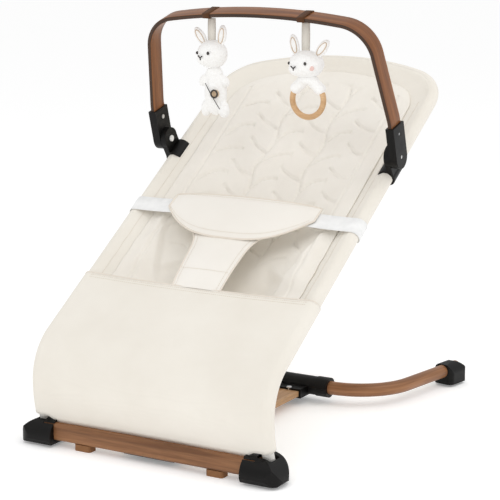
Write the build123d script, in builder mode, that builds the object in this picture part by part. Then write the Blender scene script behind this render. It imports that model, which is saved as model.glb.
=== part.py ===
from build123d import *
import os
from math import asin, atan2, cos, degrees, pi, radians, sin, sqrt, tan

# Baby bouncer seat: a fabric sling on a springy tube hoop that stands on two front feet,
# a low base of front bar, spine board, hub and rear bow, and a toy bar that clips on.
# Millimetres, +Z up, the seat faces -Y, origin under the middle of the whole object.
os.makedirs("parts", exist_ok=True)

# ---- driving dimensions ----
FRONT_Y = -281.0            # middle of the front bar
RAKE = 33.0                 # slope of the seat, degrees
SEAM_Y = FRONT_Y + 124.0    # where the front panel's hem crosses, on the tubes' centre line
SEAM_Z = 208.0
TUBE_R = 8.0                # seat tube
TUBE_WALL = 1.5
SLEEVE_R = 9.5              # cloth sleeve round the seat tube
SLEEVE_GAP = 0.1
TUBE_X = 177.4              # side tubes, each side of the middle
C_BEND_R = 72.7             # front bend from the upright into the rake
PIVOT_Y = FRONT_Y + 14.0    # barrel that each seat tube stands in
PIVOT_Z = 20.0
BARREL_R = 9.5
BARREL_LENGTH = 24.0
BARREL_GAP = 0.1
HOOP_JOIN_S = 300.0         # joint of side tube and top hoop, up the slope from the hem
HOOP_CORNER_S = 430.0
HOOP_CORNER_R = 65.5
HOOP_CORNER_TURN = 70.0
CLOTH = 1.5
CLOTH_X = TUBE_X - SLEEVE_R - 0.4
SLING_SAG = 45.0            # dip of the sling between the tubes at the hem
SLING_SAG_TOP = 2.0
SLING_TOP_S = 507.0
LINER_X = 152.0
LINER_THICK = 8.0
BELT_S = 102.0              # lower edge of the bib on the slope
BELT_TOP_S = 172.0
BELT_X = 120.0
BELT_LOW = 14.0             # height of the bib over the tubes' plane
BELT_THICK = 7.0
STRAP_S = 151.0
STRAP_WIDTH = 28.0
STRAP_THICK = 1.2
STRAP_LIFT = 10.2           # strap's inner face from the tube's centre line

BAR_HALF = 168.0            # front bar, into each boot
BAR_DEPTH = 22.0
BAR_LOW = 9.0
BAR_HIGH = 33.5
BOOT_IN_X = 150.0
BOOT_OUT_X = 206.0
BOOT_FRONT_Y = FRONT_Y - 21.0
BOOT_BACK_Y = FRONT_Y + 27.5
BOOT_LOW = 4.0
BOOT_HIGH = 38.0
PAD_R = 11.0
SPINE_HALF = 45.0
SPINE_THICK = 8.0
SPINE_Z = 14.0
HUB_Y = FRONT_Y + 366.0
HUB_Z = 24.0
HUB_HALF = 80.0
HUB_R = 14.0
HUB_END_R = 15.0
HUB_END_LENGTH = 20.0
BOW_R = 10.0
BOW_WALL = 1.5
BOW_STRAIGHT_X = 82.0
BOW_BEND_R = 90.0
BOW_BEND_TURN = 80.0
BOW_LEG = 131.0
REAR_FOOT_LENGTH = 45.0
REAR_FOOT_WIDTH = 34.0
REAR_FOOT_HIGH = 37.0
REAR_DEPTH = 37.0           # how far the bow's end stands in its foot
SCREW_R = 2.1
SCREW_HOLE_R = 2.2
FOOT_SCREW_X = 159.0
PAD_X = 184.0               # round pads under the boots
BAR_PAD_X = 105.0
SPINE_SCREW_X = 28.0
JOINT_SCREW_S = HOOP_JOIN_S - 20.0

TOY_TILT = 16.2             # lean of the toy bar towards the front, degrees
TOY_Y = FRONT_Y + 335.5
TOY_Z = 404.0
TOY_STRIP = 6.0
TOY_WIDTH = 30.0
TOY_PIVOT_H = -22.0         # pivot below the toy plane's origin, along the leg
TOY_LEG_X = 196.0
TOY_LEG_LEAN = 8.2
TOY_BEND_H = 27.0           # where the leg leaves its socket and starts to lean in
TOY_LEAN_R = 80.0
TOY_CORNER_R = 52.0
TOY_CROWN_ANGLE = 8.2
TOY_LEG_RUN = 92.6
SOCKET_IN_X = 190.0
SOCKET_OUT_X = 202.5
SOCKET_R = 16.8
SOCKET_TOP_H = 26.0
DISC_IN_X = 181.5
DISC_OUT_X = 189.7
DISC_R = 16.5
PIN_R = 3.0
PIN_GAP = 0.08
CLIP_R = 13.2
CLIP_LENGTH = 32.0
TOY_LEFT_X = -75.0
TOY_RIGHT_X = 78.0
RIBBON = 12.0
SWING_GAP = 0.4

# ---- frames that the parts are drawn in ----
rake_run = cos(radians(RAKE))
rake_rise = sin(radians(RAKE))
SEAT = Plane(origin=(0, SEAM_Y, SEAM_Z), x_dir=(1, 0, 0), z_dir=(0, -rake_rise, rake_run))
TOY = Plane(
    origin=(0, TOY_Y, TOY_Z),
    x_dir=(1, 0, 0),
    z_dir=(0, -cos(radians(TOY_TILT)), -sin(radians(TOY_TILT))),
)


def seat_point(x, s, lift=0.0):
    """Point x across, s up the slope and lift above the tubes' plane."""
    return SEAT.from_local_coords(Vector(x, s, lift))


def across_slope(s):
    """Plane square to the slope at s: local x across, local y up from the tubes' plane."""
    return Plane(origin=seat_point(0, s), x_dir=(1, 0, 0), z_dir=(0, -rake_run, -rake_rise))


def side_plane(x):
    """Upright plane at x: local x is +Y, local y is +Z."""
    return Plane(origin=(x, 0, 0), x_dir=(0, 1, 0), z_dir=(1, 0, 0))


def rake_line_z(y):
    return SEAM_Z + (y - SEAM_Y) * tan(radians(RAKE))


def toy_point(x, h, forward=0.0):
    """Point x across and h up the toy bar's plane."""
    return TOY.from_local_coords(Vector(x, h, forward))


# The side tubes' outline: a slack bend up from the foot, the C bend, then the rake.
BULGE_Z = rake_line_z(FRONT_Y + C_BEND_R * (1 - rake_rise)) - C_BEND_R * rake_run
LOWER_RUN = PIVOT_Y - FRONT_Y
LOWER_RISE = BULGE_Z - PIVOT_Z
LOWER_R = (LOWER_RUN**2 + LOWER_RISE**2) / (2 * LOWER_RUN)
TUBE_RISE = Vector(0, -LOWER_RISE, LOWER_R - LOWER_RUN).normalized()
C_END = (FRONT_Y + C_BEND_R * (1 - rake_rise), BULGE_Z + C_BEND_R * rake_run)


def lower_point(z):
    """Point of the lower bend at height z."""
    return (FRONT_Y + LOWER_R - sqrt(LOWER_R**2 - (BULGE_Z - z) ** 2), z)


def side_path(x, start_z, end_s):
    """Centre line of one side tube from height start_z to end_s up the slope."""
    end_y = SEAM_Y + end_s * rake_run
    with BuildLine(side_plane(x)) as path:
        start = lower_point(start_z)
        middle = lower_point((start_z + BULGE_Z) / 2)
        ThreePointArc(start, middle, (FRONT_Y, BULGE_Z))
        JernArc((FRONT_Y, BULGE_Z), (0, 1), C_BEND_R, -(90 - RAKE))
        Line(C_END, (end_y, rake_line_z(end_y)))
    return path.wires()[0]


def hoop_path(start_s):
    """Centre line of the top hoop, from the right side over the crown to the left."""
    turn = radians(HOOP_CORNER_TURN)
    corner_x = TUBE_X - HOOP_CORNER_R * (1 - cos(turn))
    corner_s = HOOP_CORNER_S + HOOP_CORNER_R * sin(turn)
    crown_r = corner_x / cos(turn)
    crown_s = corner_s + crown_r * (1 - sin(turn))
    with BuildLine(SEAT) as path:
        Line((TUBE_X, start_s), (TUBE_X, HOOP_CORNER_S))
        JernArc((TUBE_X, HOOP_CORNER_S), (0, 1), HOOP_CORNER_R, HOOP_CORNER_TURN)
        ThreePointArc((corner_x, corner_s), (0, crown_s), (-corner_x, corner_s))
        JernArc((-corner_x, corner_s), (-sin(turn), -cos(turn)), HOOP_CORNER_R, HOOP_CORNER_TURN)
        Line((-TUBE_X, HOOP_CORNER_S), (-TUBE_X, start_s))
    return path.wires()[0]


def hoop_inside(inset, low_s):
    """Face of the area inside the hoop, inset from its centre line, from low_s up."""
    turn = radians(HOOP_CORNER_TURN)
    side_x = TUBE_X - inset
    corner_r = HOOP_CORNER_R - inset
    corner_x = side_x - corner_r * (1 - cos(turn))
    corner_s = HOOP_CORNER_S + corner_r * sin(turn)
    crown_s = corner_s + corner_x / cos(turn) * (1 - sin(turn))
    with BuildSketch(SEAT) as area:
        with BuildLine():
            Line((-side_x, low_s), (side_x, low_s))
            Line((side_x, low_s), (side_x, HOOP_CORNER_S))
            JernArc((side_x, HOOP_CORNER_S), (0, 1), corner_r, HOOP_CORNER_TURN)
            ThreePointArc((corner_x, corner_s), (0, crown_s), (-corner_x, corner_s))
            JernArc((-corner_x, corner_s), (-sin(turn), -cos(turn)), corner_r, HOOP_CORNER_TURN)
            Line((-side_x, HOOP_CORNER_S), (-side_x, low_s))
        make_face()
    return area.sketch


def pipe(path, outer, inner=0.0):
    """Tube of the given radii along a path."""
    with BuildPart() as tube:
        with BuildSketch(Plane(origin=path @ 0, z_dir=path % 0)):
            Circle(outer)
            if inner > 0:
                Circle(inner, mode=Mode.SUBTRACT)
        sweep(path=path)
    return tube.part


def rod(x_low, x_high, y, z, radius):
    """Round bar along X."""
    with BuildPart() as bar:
        with BuildSketch(Plane(origin=(x_low, y, z), x_dir=(0, 1, 0), z_dir=(1, 0, 0))):
            Circle(radius)
        extrude(amount=x_high - x_low)
    return bar.part


def save(piece, name):
    piece.label = name
    export_step(piece, f"parts/{name}.step")


def side_name(name, side):
    return f"{name}_{'left' if side < 0 else 'right'}"


# ---- base: front bar, boots and pads ----
with BuildPart() as front_bar:
    with BuildSketch(Plane(origin=(-BAR_HALF, FRONT_Y, 0), x_dir=(0, 1, 0), z_dir=(1, 0, 0))):
        with Locations((0, (BAR_LOW + BAR_HIGH) / 2)):
            RectangleRounded(BAR_DEPTH, BAR_HIGH - BAR_LOW, 6)
    extrude(amount=2 * BAR_HALF)
    # room for the barrels that the seat tubes stand in
    for side in (-1, 1):
        end_x = side * (TUBE_X - BARREL_LENGTH / 2)
        with Locations((end_x + side * 20, PIVOT_Y, PIVOT_Z)):
            Cylinder(BARREL_R + 4, 42, rotation=(0, 90, 0), mode=Mode.SUBTRACT)
save(front_bar.part, "front_bar")


def boot(side):
    """Domed corner boot: round outside shoulder, soft front, open slot behind for the tube."""
    in_x = side * BOOT_IN_X
    out_x = side * BOOT_OUT_X
    shoulder = 45.0
    with BuildPart() as shape:
        # front view
        with BuildSketch(Plane(origin=(0, BOOT_BACK_Y, 0), x_dir=(1, 0, 0), z_dir=(0, -1, 0))):
            with BuildLine():
                shoulder_x = out_x - side * shoulder
                corner = (out_x, BOOT_LOW + 4)
                Line((in_x, BOOT_LOW), (in_x, BOOT_HIGH))
                Line((in_x, BOOT_HIGH), (shoulder_x, BOOT_HIGH))
                middle = (
                    shoulder_x + side * shoulder * cos(pi / 4),
                    BOOT_LOW + 4 + (BOOT_HIGH - BOOT_LOW - 4) * sin(pi / 4),
                )
                ThreePointArc((shoulder_x, BOOT_HIGH), middle, corner)
                Line(corner, (out_x - side * 4, BOOT_LOW))
                Line((out_x - side * 4, BOOT_LOW), (in_x, BOOT_LOW))
            make_face()
        extrude(amount=BOOT_BACK_Y - BOOT_FRONT_Y)
        # side view rounds the front top edge
        with BuildSketch(side_plane(min(in_x, out_x))):
            with BuildLine():
                nose = (BOOT_FRONT_Y, BOOT_LOW + 6)
                brow = (BOOT_FRONT_Y + 24, BOOT_HIGH)
                Line((BOOT_BACK_Y, BOOT_LOW), (BOOT_BACK_Y, BOOT_HIGH))
                Line((BOOT_BACK_Y, BOOT_HIGH), brow)
                ThreePointArc(brow, (BOOT_FRONT_Y + 6.5, BOOT_HIGH - 8.5), nose)
                Line(nose, (BOOT_FRONT_Y + 3, BOOT_LOW))
                Line((BOOT_FRONT_Y + 3, BOOT_LOW), (BOOT_BACK_Y, BOOT_LOW))
            make_face()
        extrude(amount=BOOT_OUT_X - BOOT_IN_X, mode=Mode.INTERSECT)
        # plan view rounds the outside corners
        with BuildSketch(Plane.XY.offset(BOOT_LOW)):
            with Locations(((in_x + out_x) / 2 - side * 10, (BOOT_FRONT_Y + BOOT_BACK_Y) / 2)):
                RectangleRounded(BOOT_OUT_X - BOOT_IN_X + 20, BOOT_BACK_Y - BOOT_FRONT_Y, 21)
        extrude(amount=BOOT_HIGH, mode=Mode.INTERSECT)
        # socket for the front bar
        with Locations((side * (BOOT_IN_X + BAR_HALF) / 2, FRONT_Y, (BAR_LOW + BAR_HIGH) / 2)):
            Box(
                BAR_HALF - BOOT_IN_X + 0.2, BAR_DEPTH + 0.2, BAR_HIGH - BAR_LOW + 0.2,
                mode=Mode.SUBTRACT,
            )
        # bearing for the barrel, open at the back and top where the tube leans
        with Locations((side * TUBE_X, PIVOT_Y, PIVOT_Z)):
            Cylinder(
                BARREL_R + BARREL_GAP, BARREL_LENGTH + 0.4, rotation=(0, 90, 0), mode=Mode.SUBTRACT
            )
        pivot = (side * TUBE_X, PIVOT_Y, PIVOT_Z)
        with BuildSketch(Plane(origin=pivot, x_dir=(1, 0, 0), z_dir=TUBE_RISE)):
            Rectangle(2 * SLEEVE_R + 1.6, 2 * TUBE_R + 6)
        extrude(amount=50, mode=Mode.SUBTRACT)
        # screw hole up into the bar
        with Locations((side * FOOT_SCREW_X, FRONT_Y, BOOT_LOW + 2)):
            Cylinder(SCREW_HOLE_R, 12, mode=Mode.SUBTRACT)
        # recess for the round pad
        with Locations((side * PAD_X, FRONT_Y + 1, BOOT_LOW)):
            Cylinder(PAD_R + 0.1, 3, mode=Mode.SUBTRACT)
    return shape.part


def boot_pad(side):
    with BuildPart() as pad:
        with Locations((side * PAD_X, FRONT_Y + 1, 0)):
            Cylinder(PAD_R, BOOT_LOW + 1.5, align=(Align.CENTER, Align.CENTER, Align.MIN))
        fillet(pad.faces().sort_by(Axis.Z)[0].edges(), 2.5)
    return pad.part


for side in (-1, 1):
    save(boot(side), side_name("front_foot", side))
    save(boot_pad(side), side_name("front_foot_pad", side))

with BuildPart() as bar_pads:
    with Locations((-BAR_PAD_X, FRONT_Y, BAR_LOW / 2), (BAR_PAD_X, FRONT_Y, BAR_LOW / 2)):
        Box(26, 17, BAR_LOW)
    fillet(bar_pads.edges().filter_by(Axis.Z), 4)
save(bar_pads.part, "bar_pads")

with BuildPart() as foot_screws:
    for side in (-1, 1):
        with Locations((side * FOOT_SCREW_X, FRONT_Y, BOOT_LOW + 0.5)):
            Cylinder(
                SCREW_R, BAR_LOW - BOOT_LOW - 0.6,
                align=(Align.CENTER, Align.CENTER, Align.MIN),
            )
save(foot_screws.part, "foot_screws")

# ---- base: spine board, bracket and screws ----
SPINE_FRONT_Y = FRONT_Y + BAR_DEPTH / 2 + 0.3
SPINE_BACK_Y = HUB_Y - HUB_R + 4.0
with BuildPart() as spine_board:
    with BuildSketch(Plane.XY.offset(SPINE_Z)):
        with Locations((0, (SPINE_FRONT_Y + SPINE_BACK_Y) / 2)):
            RectangleRounded(2 * SPINE_HALF, SPINE_BACK_Y - SPINE_FRONT_Y, 3)
    extrude(amount=SPINE_THICK)
    fillet(spine_board.faces().sort_by(Axis.Z)[-1].edges(), 1.5)
    for x in (-SPINE_SCREW_X, SPINE_SCREW_X):
        with Locations((x, SPINE_FRONT_Y + 18, SPINE_Z), (x, SPINE_BACK_Y - 22, SPINE_Z)):
            Cylinder(SCREW_HOLE_R, 3 * SPINE_THICK, mode=Mode.SUBTRACT)
save(spine_board.part, "spine_board")

with BuildPart() as spine_bracket:
    bracket_low = SPINE_Z - 2.2
    with Locations((0, SPINE_FRONT_Y, bracket_low)):
        Box(80, 32, 2, align=(Align.CENTER, Align.MIN, Align.MIN))
    with Locations((0, SPINE_FRONT_Y - 14, BAR_LOW - 2.1)):
        Box(80, 16, 2, align=(Align.CENTER, Align.MIN, Align.MIN))
    with Locations((0, SPINE_FRONT_Y, BAR_LOW - 2.1)):
        Box(80, 2, bracket_low - BAR_LOW + 4.1, align=(Align.CENTER, Align.MIN, Align.MIN))
    for x in (-SPINE_SCREW_X, SPINE_SCREW_X):
        with Locations((x, SPINE_FRONT_Y + 18, bracket_low)):
            Cylinder(SCREW_HOLE_R, 8, mode=Mode.SUBTRACT)
save(spine_bracket.part, "spine_bracket")


def bolt(x, y, low, high, head_r):
    """Domed bolt with its head on top and a nut-like collar below."""
    with BuildPart() as piece:
        with Locations((x, y, low)):
            Cylinder(SCREW_R, high - low, align=(Align.CENTER, Align.CENTER, Align.MIN))
        with Locations((x, y, high)):
            Cylinder(head_r, 1.8, align=(Align.CENTER, Align.CENTER, Align.MIN))
        fillet(piece.faces().sort_by(Axis.Z)[-1].edges(), 0.8)
    return piece.part


spine_top = SPINE_Z + SPINE_THICK
spine_screws = Compound(
    children=[
        bolt(x, SPINE_FRONT_Y + 18, SPINE_Z - 4, spine_top, 4) for x in (-SPINE_SCREW_X, SPINE_SCREW_X)
    ]
)
save(spine_screws, "spine_screws")

# ---- base: hub shells round the bow's middle ----


def hub_half(upper):
    """Half of the sleeve that clamps the bow tube and the spine board's back edge."""
    with BuildPart() as shape:
        add(rod(-HUB_HALF, HUB_HALF, HUB_Y, HUB_Z, HUB_R))
        add(rod(-HUB_HALF, -HUB_HALF + HUB_END_LENGTH, HUB_Y, HUB_Z, HUB_END_R))
        add(rod(HUB_HALF - HUB_END_LENGTH, HUB_HALF, HUB_Y, HUB_Z, HUB_END_R))
        # tongue that reaches forward over and under the board
        with Locations((0, HUB_Y - HUB_R - 20, (SPINE_Z + spine_top) / 2)):
            Box(
                2 * SPINE_HALF + 6, 48, SPINE_THICK + 6,
                align=(Align.CENTER, Align.MIN, Align.CENTER),
            )
        with Locations((0, SPINE_BACK_Y, SPINE_Z + SPINE_THICK / 2)):
            Box(
                2 * SPINE_HALF + 0.2, 80, SPINE_THICK + 0.2,
                align=(Align.CENTER, Align.MAX, Align.CENTER), mode=Mode.SUBTRACT,
            )
        add(rod(-HUB_HALF - 1, HUB_HALF + 1, HUB_Y, HUB_Z, BOW_R + 0.05), mode=Mode.SUBTRACT)
        for x in (-SPINE_SCREW_X, SPINE_SCREW_X):
            with Locations((x, SPINE_BACK_Y - 22, 0)):
                Cylinder(SCREW_HOLE_R, 100, mode=Mode.SUBTRACT)
        keep = Keep.TOP if upper else Keep.BOTTOM
        split(bisect_by=Plane.XY.offset(HUB_Z if upper else HUB_Z - 0.1), keep=keep)
    return shape.part


hub_upper = hub_half(True)
hub_lower = hub_half(False)
save(hub_upper, "hub_upper")
save(hub_lower, "hub_lower")

hub_screws = Compound(
    children=[
        bolt(x, SPINE_BACK_Y - 22, SPINE_Z - 3, spine_top + 3, 4) for x in (-SPINE_SCREW_X, SPINE_SCREW_X)
    ]
)
save(hub_screws, "hub_screws")


# ---- base: rear bow and its feet ----
def bow_path():
    turn = radians(BOW_BEND_TURN)
    end_x = BOW_STRAIGHT_X + BOW_BEND_R * sin(turn) + BOW_LEG * cos(turn)
    end_y = BOW_BEND_R * (1 - cos(turn)) + BOW_LEG * sin(turn)
    bend_x = BOW_STRAIGHT_X + BOW_BEND_R * sin(turn)
    bend_y = BOW_BEND_R * (1 - cos(turn))
    with BuildLine(Plane(origin=(0, HUB_Y, HUB_Z))) as path:
        Line((-end_x, end_y), (-bend_x, bend_y))
        JernArc((-bend_x, bend_y), (cos(turn), -sin(turn)), BOW_BEND_R, BOW_BEND_TURN)
        Line((-BOW_STRAIGHT_X, 0), (BOW_STRAIGHT_X, 0))
        JernArc((BOW_STRAIGHT_X, 0), (1, 0), BOW_BEND_R, BOW_BEND_TURN)
        Line((bend_x, bend_y), (end_x, end_y))
    return path.wires()[0]


bow_tube = pipe(bow_path(), BOW_R, BOW_R - BOW_WALL)
save(bow_tube, "bow_tube")

BOW_END_X = BOW_STRAIGHT_X + BOW_BEND_R * sin(radians(BOW_BEND_TURN))
BOW_END_X += BOW_LEG * cos(radians(BOW_BEND_TURN))
BOW_END_Y = HUB_Y + BOW_BEND_R * (1 - cos(radians(BOW_BEND_TURN)))
BOW_END_Y += BOW_LEG * sin(radians(BOW_BEND_TURN))


def rear_frame(side):
    """Frame at the bow's end: local x outwards across the leg, local y on along the leg."""
    splay = radians(90 - BOW_BEND_TURN) * side
    return Plane(
        origin=(side * BOW_END_X, BOW_END_Y, 0),
        x_dir=(cos(splay), -sin(splay), 0),
        z_dir=(0, 0, 1),
    )


def rear_foot(side):
    """Closed cap over the bow's end, with a rounded outer end and a flat sole."""
    frame = rear_frame(side)
    half = REAR_FOOT_WIDTH / 2
    with BuildPart() as shape:
        with BuildSketch(frame.offset(BOOT_LOW)):
            with Locations((0, REAR_FOOT_LENGTH / 2 - REAR_DEPTH)):
                RectangleRounded(REAR_FOOT_WIDTH, REAR_FOOT_LENGTH, 9)
        extrude(amount=REAR_FOOT_HIGH - BOOT_LOW)
        end_view = Plane(origin=frame.origin, x_dir=frame.x_dir, z_dir=-frame.y_dir)
        with BuildSketch(end_view.offset(-REAR_FOOT_LENGTH)):
            with BuildLine():
                Line((-half, BOOT_LOW), (-half, REAR_FOOT_HIGH - half))
                spring_z = REAR_FOOT_HIGH - half
                ThreePointArc((-half, spring_z), (0, REAR_FOOT_HIGH), (half, spring_z))
                Line((half, REAR_FOOT_HIGH - half), (half, BOOT_LOW))
                Line((half, BOOT_LOW), (-half, BOOT_LOW))
            make_face()
        extrude(amount=2 * REAR_FOOT_LENGTH, mode=Mode.INTERSECT)
        # side view rounds the back of the crown
        tail = REAR_FOOT_LENGTH - REAR_DEPTH
        side_view = Plane(origin=frame.origin, x_dir=frame.y_dir, z_dir=frame.x_dir)
        with BuildSketch(side_view.offset(-REAR_FOOT_WIDTH)):
            with BuildLine():
                crown = (tail - 24, REAR_FOOT_HIGH)
                heel = (tail, BOOT_LOW + 8)
                Line((-REAR_DEPTH, BOOT_LOW), (-REAR_DEPTH, REAR_FOOT_HIGH - 2))
                Line((-REAR_DEPTH, REAR_FOOT_HIGH - 2), crown)
                ThreePointArc(crown, (tail - 6.5, REAR_FOOT_HIGH - 8.5), heel)
                Line(heel, (tail - 2, BOOT_LOW))
                Line((tail - 2, BOOT_LOW), (-REAR_DEPTH, BOOT_LOW))
            make_face()
        extrude(amount=2 * REAR_FOOT_WIDTH, mode=Mode.INTERSECT)
        bore = Plane(origin=frame.origin + Vector(0, 0, HUB_Z), x_dir=frame.x_dir, z_dir=-frame.y_dir)
        with BuildSketch(bore):
            Circle(BOW_R + 0.05)
        extrude(amount=REAR_DEPTH + 1, mode=Mode.SUBTRACT)
        with Locations(frame * Pos(0, tail - 24, BOOT_LOW)):
            Cylinder(PAD_R + 0.1, 3, mode=Mode.SUBTRACT)
    return shape.part


def rear_pad(side):
    tail = REAR_FOOT_LENGTH - REAR_DEPTH
    with BuildPart() as pad:
        with Locations(rear_frame(side) * Pos(0, tail - 24, 0)):
            Cylinder(PAD_R, BOOT_LOW + 1.5, align=(Align.CENTER, Align.CENTER, Align.MIN))
        fillet(pad.faces().sort_by(Axis.Z)[0].edges(), 2.5)
    return pad.part


for side in (-1, 1):
    save(rear_foot(side), side_name("rear_foot", side))
    save(rear_pad(side), side_name("rear_foot_pad", side))


# ---- seat frame: barrels, side tubes, top hoop and joiners ----
def pivot_barrel(side):
    """Barrel that rocks in the boot, with a spigot up into the seat tube."""
    with BuildPart() as barrel:
        add(
            rod(
                side * TUBE_X - BARREL_LENGTH / 2, side * TUBE_X + BARREL_LENGTH / 2,
                PIVOT_Y, PIVOT_Z, BARREL_R,
            )
        )
        with BuildSketch(Plane(origin=(side * TUBE_X, PIVOT_Y, PIVOT_Z), z_dir=TUBE_RISE)):
            Circle(TUBE_R - TUBE_WALL - 0.9)
        extrude(amount=BARREL_R + 5)
    return barrel.part


def seat_tube(side):
    """Side tube from the barrel round the front bend to the hoop joint."""
    with BuildPart() as tube:
        add(pipe(side_path(side * TUBE_X, PIVOT_Z + 1, HOOP_JOIN_S), TUBE_R, TUBE_R - TUBE_WALL))
        add(
            rod(side * TUBE_X - 12, side * TUBE_X + 12, PIVOT_Y, PIVOT_Z, BARREL_R + 0.05),
            mode=Mode.SUBTRACT,
        )
        with Locations(seat_point(side * TUBE_X, JOINT_SCREW_S)):
            Cylinder(2.6, 30, rotation=(0, 90, 0), mode=Mode.SUBTRACT)
        keep_high = Plane.XY.offset(PIVOT_Z + 5)
        split(bisect_by=keep_high, keep=Keep.TOP)
    return tube.part


def tube_joiner(side):
    """Swaged sleeve inside the joint of side tube and hoop."""
    inner = TUBE_R - TUBE_WALL - 0.05
    with BuildPart() as joiner:
        with BuildSketch(across_slope(HOOP_JOIN_S + 35)):
            with Locations((side * TUBE_X, 0)):
                Circle(inner)
                Circle(inner - 1.2, mode=Mode.SUBTRACT)
        extrude(amount=70)
        with Locations(seat_point(side * TUBE_X, JOINT_SCREW_S)):
            Cylinder(2.6, 30, rotation=(0, 90, 0), mode=Mode.SUBTRACT)
    return joiner.part


def snap_button(side):
    """Sprung button that locks the joint, flush with the tube's outside."""
    low = side * TUBE_X + (3 if side > 0 else -TUBE_R + 0.5)
    with BuildPart() as button:
        start = seat_point(0, JOINT_SCREW_S) + Vector(low, 0, 0)
        with BuildSketch(Plane(origin=start, z_dir=(1, 0, 0))):
            Circle(2.5)
        extrude(amount=TUBE_R - 3.5)
    return button.part


for side in (-1, 1):
    save(pivot_barrel(side), side_name("pivot_barrel", side))
    save(seat_tube(side), side_name("seat_tube", side))
    save(tube_joiner(side), side_name("tube_joiner", side))
save(Compound(children=[snap_button(-1), snap_button(1)]), "snap_buttons")

seat_hoop = pipe(hoop_path(HOOP_JOIN_S + 0.2), TUBE_R, TUBE_R - TUBE_WALL)
save(seat_hoop, "seat_hoop")

# ---- cover: sleeves, front panel, sling and liner ----
COVER_LOW_Z = 45.0
inner_sleeve = TUBE_R + SLEEVE_GAP
with BuildPart() as cover_sleeve:
    for side in (-1, 1):
        add(pipe(side_path(side * TUBE_X, COVER_LOW_Z, HOOP_JOIN_S), SLEEVE_R, inner_sleeve))
    add(pipe(hoop_path(HOOP_JOIN_S), SLEEVE_R, inner_sleeve))
save(cover_sleeve.part, "cover_sleeve")


def panel_edge(lift):
    """Front panel's outline in the side view, lifted outwards from the tubes' centre line."""
    centre_y = FRONT_Y + LOWER_R
    low_angle = asin((BULGE_Z - COVER_LOW_Z) / LOWER_R)
    half_angle = low_angle / 2
    radius = LOWER_R + lift
    low = (centre_y - radius * cos(low_angle), BULGE_Z - radius * sin(low_angle))
    half = (centre_y - radius * cos(half_angle), BULGE_Z - radius * sin(half_angle))
    bulge = (FRONT_Y - lift, BULGE_Z)
    hem = (SEAM_Y - lift * rake_rise, SEAM_Z + lift * rake_run)
    return low, half, bulge, hem


with BuildPart() as front_panel:
    with BuildSketch(side_plane(-CLOTH_X)):
        low, half, bulge, hem = panel_edge(TUBE_R)
        low_in, half_in, bulge_in, hem_in = panel_edge(TUBE_R - CLOTH)
        outer_end = (C_END[0] - TUBE_R * rake_rise, C_END[1] + TUBE_R * rake_run)
        inner_end = (
            C_END[0] - (TUBE_R - CLOTH) * rake_rise, C_END[1] + (TUBE_R - CLOTH) * rake_run
        )
        with BuildLine():
            ThreePointArc(low, half, bulge)
            JernArc(bulge, (0, 1), C_BEND_R + TUBE_R, -(90 - RAKE))
            Line(outer_end, hem)
            Line(hem, hem_in)
            Line(hem_in, inner_end)
            JernArc(bulge_in, (0, 1), C_BEND_R + TUBE_R - CLOTH, -(90 - RAKE))
            ThreePointArc(bulge_in, half_in, low_in)
            Line(low_in, low)
        make_face()
    extrude(amount=2 * CLOTH_X)
save(front_panel.part, "front_panel")


def sag_at(s):
    """Dip of the sling between the tubes at s up the slope."""
    return SLING_SAG + (SLING_SAG_TOP - SLING_SAG) * s / SLING_TOP_S


def sag_strip(s, half_width, low, high):
    """Curved strip across the seat at s, between low and high over the sling's own line."""
    sag = sag_at(s)
    radius = (CLOTH_X**2 + sag**2) / (2 * sag)
    edge = radius - sag - sqrt(radius**2 - half_width**2)
    with BuildSketch(across_slope(s)) as strip:
        with BuildLine():
            ThreePointArc((-half_width, edge + low), (0, low - sag), (half_width, edge + low))
            Line((half_width, edge + low), (half_width, edge + high))
            ThreePointArc((half_width, edge + high), (0, high - sag), (-half_width, edge + high))
            Line((-half_width, edge + high), (-half_width, edge + low))
        make_face()
    return strip.sketch


with BuildPart() as seat_sling:
    low_strip = sag_strip(1.5, CLOTH_X, -CLOTH, 0)
    high_strip = sag_strip(SLING_TOP_S, CLOTH_X, -CLOTH, 0)
    loft([low_strip, high_strip], ruled=True)
    extrude(hoop_inside(SLEEVE_R + 0.4, -5), amount=80, both=True, mode=Mode.INTERSECT)
save(seat_sling.part, "seat_sling")

with BuildPart() as seat_liner:
    low_strip = sag_strip(4, LINER_X, 1, 1 + LINER_THICK)
    high_strip = sag_strip(SLING_TOP_S - 8, LINER_X, 1, 1 + LINER_THICK)
    loft([low_strip, high_strip], ruled=True)
    extrude(hoop_inside(TUBE_X - LINER_X, -5), amount=80, both=True, mode=Mode.INTERSECT)
save(seat_liner.part, "seat_liner")

# ---- harness: crotch panel, bib belt, straps and their sliders ----


def crotch_section(s, half_width, low, high):
    with BuildSketch(across_slope(s)) as section:
        with Locations((0, (low + high) / 2)):
            Rectangle(2 * half_width, high - low)
    return section.sketch


with BuildPart() as crotch_panel:
    low_end = crotch_section(2, 38, 1.5, 7.5)
    high_end = crotch_section(BELT_S - 2, 50, BELT_LOW, BELT_LOW + 6)
    loft([low_end, high_end], ruled=True)
save(crotch_panel.part, "crotch_panel")

with BuildPart() as waist_belt:
    with BuildSketch(SEAT.offset(BELT_LOW)):
        with BuildLine():
            wing_low = STRAP_S - STRAP_WIDTH / 2 - 3
            Line((-BELT_X, BELT_TOP_S), (BELT_X, BELT_TOP_S))
            Line((BELT_X, BELT_TOP_S), (BELT_X, wing_low))
            ThreePointArc((BELT_X, wing_low), (0, BELT_S), (-BELT_X, wing_low))
            Line((-BELT_X, wing_low), (-BELT_X, BELT_TOP_S))
        make_face()
    extrude(amount=BELT_THICK)
save(waist_belt.part, "waist_belt")

TAIL_END_X = 118.0
TAIL_DROP = 12.0            # how far the tail's end hangs below the tube's underside


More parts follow.
